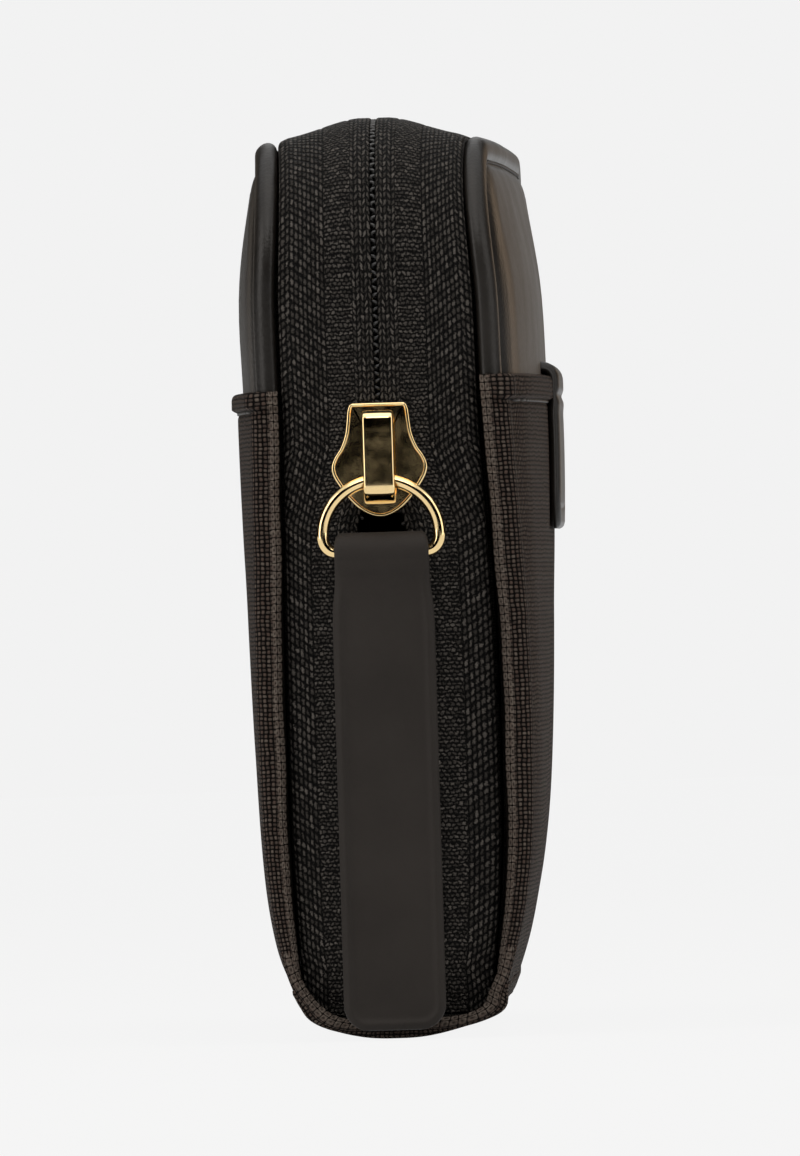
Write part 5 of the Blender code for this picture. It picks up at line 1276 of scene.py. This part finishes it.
def coin_panel(prefix, side):
    y, z, edge = layer_points(PAGE_HALF_LENGTH, PAGE_LOW_Z, PAGE_TOP_Z, 0.005, 0.0003)
    belly = 0.00025 * np.sin(math.pi * np.clip((z - PAGE_LOW_Z) / 0.075, 0, 1)) * (1 - (y / PAGE_HALF_LENGTH) ** 2)
    hem = np.clip((0.0030 - edge) / 0.0003, 0, 1) * np.clip((z - 0.006) / 0.001, 0, 1)
    x = PAGE_MIDDLE_X + belly + 0.00005 * hem
    middle = np.stack([side * x, y, z], axis=2)
    outward = np.zeros_like(middle)
    outward[..., 0] = side
    weave = np.stack([y, z, y * 0], axis=2) * 1000
    item = flat_sheet(f"coin_{prefix}_panel", lining_cloth, "spine", f"coin_pocket_{prefix}_panel",
                      middle, edge, 0.0005, weave, outward)
    seam = border_thread(f"coin_{prefix}_thread", "spine", PAGE_HALF_LENGTH, PAGE_LOW_Z, PAGE_TOP_Z, 0.005, 0.0022,
                         lambda y, z: (side, PAGE_MIDDLE_X + 0.00027 + y * 0))


def coin_gusset(end, y_side):
    """Side of the coin pocket, folded inwards between its panels."""
    shares = np.concatenate([-np.cos(np.linspace(0, math.pi / 2, 12)), np.cos(np.linspace(math.pi / 2, 0, 12))[1:]])
    x_line = 0.0020 * shares
    y_line = 0.0515 - 0.0055 * (1 - np.sqrt(shares ** 2 + 0.012)) * 1.06
    run = np.concatenate([[0], np.cumsum(np.hypot(np.diff(x_line), np.diff(y_line)))])
    levels = np.concatenate([PAGE_LOW_Z + np.array(edge_steps(0.0002)), np.linspace(0.0034, 0.0720, 40),
                             0.0727 - np.array(edge_steps(0.0002))[::-1]])
    x = np.repeat(x_line[None], len(levels), axis=0)
    y = np.repeat(y_line[None], len(levels), axis=0)
    z = np.repeat(levels[:, None], len(x_line), axis=1)
    across = np.repeat(run[None], len(levels), axis=0)
    edge = np.minimum(np.minimum(across, run[-1] - across), np.minimum(z - PAGE_LOW_Z, 0.0727 - z))
    outward = np.zeros(x.shape + (3,))
    outward[..., 1] = y_side
    item = flat_sheet("coin_gusset_cloth_" + end, lining_cloth, "spine", "coin_gusset_" + end,
                      np.stack([x, y_side * y, z], axis=2), edge, 0.0004,
                      np.stack([across, z, z * 0], axis=2) * 1000, outward)


def coin_tape(prefix, side):
    line = np.array([(0.0010, 0.0778), (0.0013, 0.0778), (0.0016, 0.0778), (0.0018, 0.07773), (0.00194, 0.0776),
                     (0.0020, 0.0774), (0.0020, 0.0770), (0.0020, 0.0762), (0.0020, 0.0750), (0.0020, 0.0740),
                     (0.0020, 0.0734), (0.0020, 0.07315), (0.0020, 0.07305)])
    run = np.concatenate([[0], np.cumsum(np.hypot(np.diff(line[:, 0]), np.diff(line[:, 1])))])
    ys = np.linspace(-0.0500, 0.0500, 160)
    x = np.repeat(line[:, 0][None], len(ys), axis=0)
    z = np.repeat(line[:, 1][None], len(ys), axis=0)
    y = np.repeat(ys[:, None], len(line), axis=1)
    across = np.repeat(run[None], len(ys), axis=0)
    edge = np.minimum(np.minimum(across, run[-1] - across), 0.0500 - np.abs(y))
    outward = np.zeros(x.shape + (3,))
    outward[..., 2] = 1
    outward[..., 0] = side
    flat_sheet(f"coin_{prefix}_tape", tape_cloth, "spine", "coin_zip_tape_" + prefix,
               np.stack([side * x, y, z], axis=2), edge, 0.0004, np.stack([across, y, y * 0], axis=2) * 1000, outward)


def coin_coil(prefix, side):
    pitch, per_turn = 0.0012, 16
    t = np.arange(int(0.0930 / pitch) * per_turn + 1) / per_turn
    phase = 2 * math.pi * t
    y = -0.0465 + t * pitch + (0.0 if side > 0 else pitch / 2)
    x = 0.00090 + 0.00036 * (1 - np.cos(phase))
    z = 0.0787 + 0.00024 * np.sin(phase)
    builder = Builder()
    builder.tube(np.stack([side * x, y, z], axis=1), 0.00015, 7)
    item = builder.make(f"coin_{prefix}_coil", nylon, "spine", ("coin_zip_coil_" + prefix,))


def spine_inner_lining():
    half_x, half_y, thick = 0.0078, 0.0623, 0.0004
    steps = np.array(edge_steps(0.0002))
    xs = np.concatenate([-half_x + steps, np.linspace(-half_x + 0.0006, half_x - 0.0006, 14), half_x - steps[::-1]])
    ys = np.concatenate([-half_y + steps, np.linspace(-half_y + 0.0006, half_y - 0.0006, 70), half_y - steps[::-1]])
    x, y = np.meshgrid(xs, ys)
    z = np.full_like(x, 0.0022)
    edge = np.minimum(half_x - np.abs(x), half_y - np.abs(y))
    outward = np.zeros(x.shape + (3,))
    outward[..., 2] = 1
    item = flat_sheet("spine_inner_lining", lining_cloth, "spine", "spine_lining",
                      np.stack([x, y, z], axis=2), edge, thick, np.stack([x, y, x * 0], axis=2) * 1000, outward)


def build_cover(prefix):
    side = SIDES[prefix]
    leather_cover(prefix, side)
    seam_stitches(prefix, side)
    hem_top, hem_height = (FRONT_HEM_TOP_Z, 0.0028) if prefix == "front" else (BACK_HEM_TOP_Z, 0.0021)
    cloth, flat = pocket_cloth(prefix, side, hem_top, hem_height)
    hem_stitches(prefix, side, hem_top - hem_height)
    tape, tape_flat = zip_tape(prefix, side)
    zip_coil(prefix, side)
    board = cover_layer(prefix + "_stiffener", prefix, prefix + "_board", 0.0104, 0.0008, 0.0597, 0.0088, 0.0927,
                        0.0123, stiffening)
    lining = cover_layer(prefix + "_inner_lining", prefix, prefix + "_lining", 0.0095, 0.0004, 0.0565, 0.0088, 0.0895,
                         0.0091, lining_cloth, 0.0016)
    bill = cover_layer(prefix + "_note_panel", prefix, prefix + "_bill_panel", 0.0088, 0.0004, 0.0540, 0.0095, 0.0860,
                       0.006, lining_cloth, 0.0016)
    seam = border_thread(prefix + "_note_thread", prefix + "_cover", 0.0540, 0.0095, 0.0860, 0.006, 0.0022,
                         lambda y, z: (side, cover_x(side, 0.00858, y, z, 0.45)))
    for index in range(3):
        flat_x = 0.008125 - index * 0.00065
        top = (0.070, 0.058, 0.046)[index]
        cover_layer(f"{prefix}_slot_{index + 1}", prefix, f"{prefix}_card_slot_{index + 1}", flat_x, 0.00035,
                    0.046, 0.0105, top, 0.003, inner_leather, 0.0013)
    for end in ("near", "far"):
        clamp(f"{prefix}_zip_stop_{end}", prefix + "_cover")


for cover_name in SIDES:
    build_cover(cover_name)
    spine_cloth_half(cover_name, SIDES[cover_name])
patch_loop()
slider()
ring()
tab()
repaint("slider_lock_spring", steel)
repaint("spine_board", stiffening)
spine_inner_lining()
for half_name, half_side in SIDES.items():
    coin_panel(half_name, half_side)
for half_name, half_side in SIDES.items():
    coin_tape(half_name, half_side)
    coin_coil(half_name, half_side)
for end_name, end_side in (("near", -1), ("far", 1)):
    coin_gusset(end_name, end_side)
    clamp("coin_zip_stop_" + end_name, "spine")
for name in ("coin_slider_body", "coin_slider_cap", "coin_puller"):
    repaint(name, gold)


# Camera, fitted to the view: distances and places in the picture's own pixels
PIXEL = 0.0001061
DISTANCE = 2.533
AZIMUTH, ROLL = math.radians(1.50), math.radians(1.71)
right = Vector((math.cos(AZIMUTH), math.sin(AZIMUTH), 0))
back = Vector((math.sin(AZIMUTH), -math.cos(AZIMUTH), 0))
up = Vector((0, 0, 1))
camera_right = right * math.cos(ROLL) - up * math.sin(ROLL)
camera_up = right * math.sin(ROLL) + up * math.cos(ROLL)
centre = Vector((0, -HALF_LENGTH, 0.049)) + camera_right * (400 - 383.6) * PIXEL - camera_up * (578 - 577) * PIXEL
lens_data = bpy.data.cameras.new("camera")
lens_data.sensor_width = 36.0
lens_data.lens = 36.0 * DISTANCE / (1156 * PIXEL)
lens_data.clip_start, lens_data.clip_end = 0.1, 20.0
camera = bpy.data.objects.new("camera", lens_data)
scene.collection.objects.link(camera)
turn = Matrix((camera_right, camera_up, back)).transposed()
camera.matrix_world = Matrix.Translation(centre + back * DISTANCE) @ turn.to_4x4()
scene.camera = camera


def area_light(name, place, target, size, power, colour=(1, 1, 1)):
    data = bpy.data.lights.new(name, "AREA")
    data.shape = "RECTANGLE"
    data.size, data.size_y = size
    data.energy = power * LIGHT
    data.color = colour
    item = bpy.data.objects.new(name, data)
    scene.collection.objects.link(item)
    item.location = place
    item.rotation_mode = "QUATERNION"
    item.rotation_quaternion = (Vector(target) - Vector(place)).to_track_quat("-Z", "Y")
    item.visible_camera = False
    return item


middle_point = (0, 0, 0.05)
LIGHT = 0.50
WARM = (1.0, 0.955, 0.91)
area_light("left softbox", (-0.75, -0.45, 0.30), middle_point, (0.5, 0.8), 7.0, WARM)
area_light("right softbox", (0.75, -0.35, 0.30), middle_point, (0.5, 0.8), 4.5, WARM)
area_light("top softbox", (0.0, -0.15, 0.85), middle_point, (0.9, 0.7), 4.0, WARM)
area_light("front softbox", (0.0, -0.80, 0.80), middle_point, (0.8, 0.35), 4.5, WARM)
area_light("right rim", (0.60, 0.85, 0.22), middle_point, (0.35, 0.5), 1.3, (1.0, 0.74, 0.52))
area_light("left rim", (-0.65, 0.90, 0.22), middle_point, (0.35, 0.5), 0.45, (1.0, 0.86, 0.72))

# Dark studio walls for reflections alone: open behind the object and above, where the pale backdrop shows
wall_steps, WALL_RADIUS, WALL_HEIGHT = 32, 1.5, 1.1
WALL_HALF_ANGLE = math.radians(170)
wall_points, wall_faces = [], []
for step in range(wall_steps + 1):
    angle = -math.pi / 2 + WALL_HALF_ANGLE * (2 * step / wall_steps - 1)
    ground = (WALL_RADIUS * math.cos(angle), WALL_RADIUS * math.sin(angle))
    wall_points += [(*ground, 0.0), (*ground, WALL_HEIGHT)]
    if step:
        wall_faces.append((2 * step - 2, 2 * step, 2 * step + 1, 2 * step - 1))
wall_mesh = bpy.data.meshes.new("studio_wall")
wall_mesh.from_pydata(wall_points, [], wall_faces)
wall = bpy.data.objects.new("studio_wall", wall_mesh)
scene.collection.objects.link(wall)
wall_finish = Finish("dark studio wall")
wall_finish.set(Base_Color=(0.004, 0.004, 0.004), Roughness=1.0, Specular_IOR_Level=0.0)
wall_mesh.materials.append(wall_finish.material)
wall.visible_camera = False
wall.visible_diffuse = False
wall.visible_shadow = False
wall.visible_transmission = False


def seen_by(nodes, links):
    """1 for the rays that see the backdrop: straight from the camera, mirrored or through glass."""
    path = nodes.new("ShaderNodeLightPath")
    total = path.outputs["Is Camera Ray"]
    for name in ("Is Glossy Ray", "Is Transmission Ray"):
        add = nodes.new("ShaderNodeMath")
        add.operation = "MAXIMUM"
        links.new(total, add.inputs[0])
        links.new(path.outputs[name], add.inputs[1])
        total = add.outputs[0]
    return total


# Floor: pale for the camera, and it keeps the object's soft shadow
floor_mesh = bpy.data.meshes.new("floor")
floor_mesh.from_pydata([(-3, -3, -0.0001), (3, -3, -0.0001), (3, 3, -0.0001), (-3, 3, -0.0001)], [], [(0, 1, 2, 3)])
floor = bpy.data.objects.new("floor", floor_mesh)
scene.collection.objects.link(floor)
floor_finish = bpy.data.materials.new("pale floor")
floor_finish.use_nodes = True
floor_nodes, floor_links = floor_finish.node_tree.nodes, floor_finish.node_tree.links
floor_shader = floor_nodes["Principled BSDF"]
floor_shader.inputs["Base Color"].default_value = (0.80, 0.80, 0.80, 1)
floor_shader.inputs["Roughness"].default_value = 0.9
# the camera sees the backdrop's own tone, and a share of the floor's light for the shadow
glow, seen_floor = floor_nodes.new("ShaderNodeEmission"), floor_nodes.new("ShaderNodeMixShader")
floor_share = floor_nodes.new("ShaderNodeMath")
floor_share.operation = "MULTIPLY"
floor_share.inputs[1].default_value = 0.95
glow.inputs[0].default_value = (0.93, 0.93, 0.93, 1)
floor_links.new(seen_by(floor_nodes, floor_links), floor_share.inputs[0])
floor_links.new(floor_share.outputs[0], seen_floor.inputs[0])
floor_links.new(floor_shader.outputs[0], seen_floor.inputs[1])
floor_links.new(glow.outputs[0], seen_floor.inputs[2])
floor_links.new(seen_floor.outputs[0], floor_nodes["Material Output"].inputs[0])
floor_mesh.materials.append(floor_finish)

world = bpy.data.worlds.new("studio")
scene.world = world
world.use_nodes = True
nodes, links = world.node_tree.nodes, world.node_tree.links
nodes.clear()
output = nodes.new("ShaderNodeOutputWorld")
seen, lit = nodes.new("ShaderNodeBackground"), nodes.new("ShaderNodeBackground")
seen.inputs[0].default_value = (0.888, 0.888, 0.888, 1)
lit.inputs[0].default_value = (0.09, 0.09, 0.09, 1)
choose = nodes.new("ShaderNodeMixShader")
links.new(seen_by(nodes, links), choose.inputs[0])
links.new(lit.outputs[0], choose.inputs[1])
links.new(seen.outputs[0], choose.inputs[2])
links.new(choose.outputs[0], output.inputs[0])
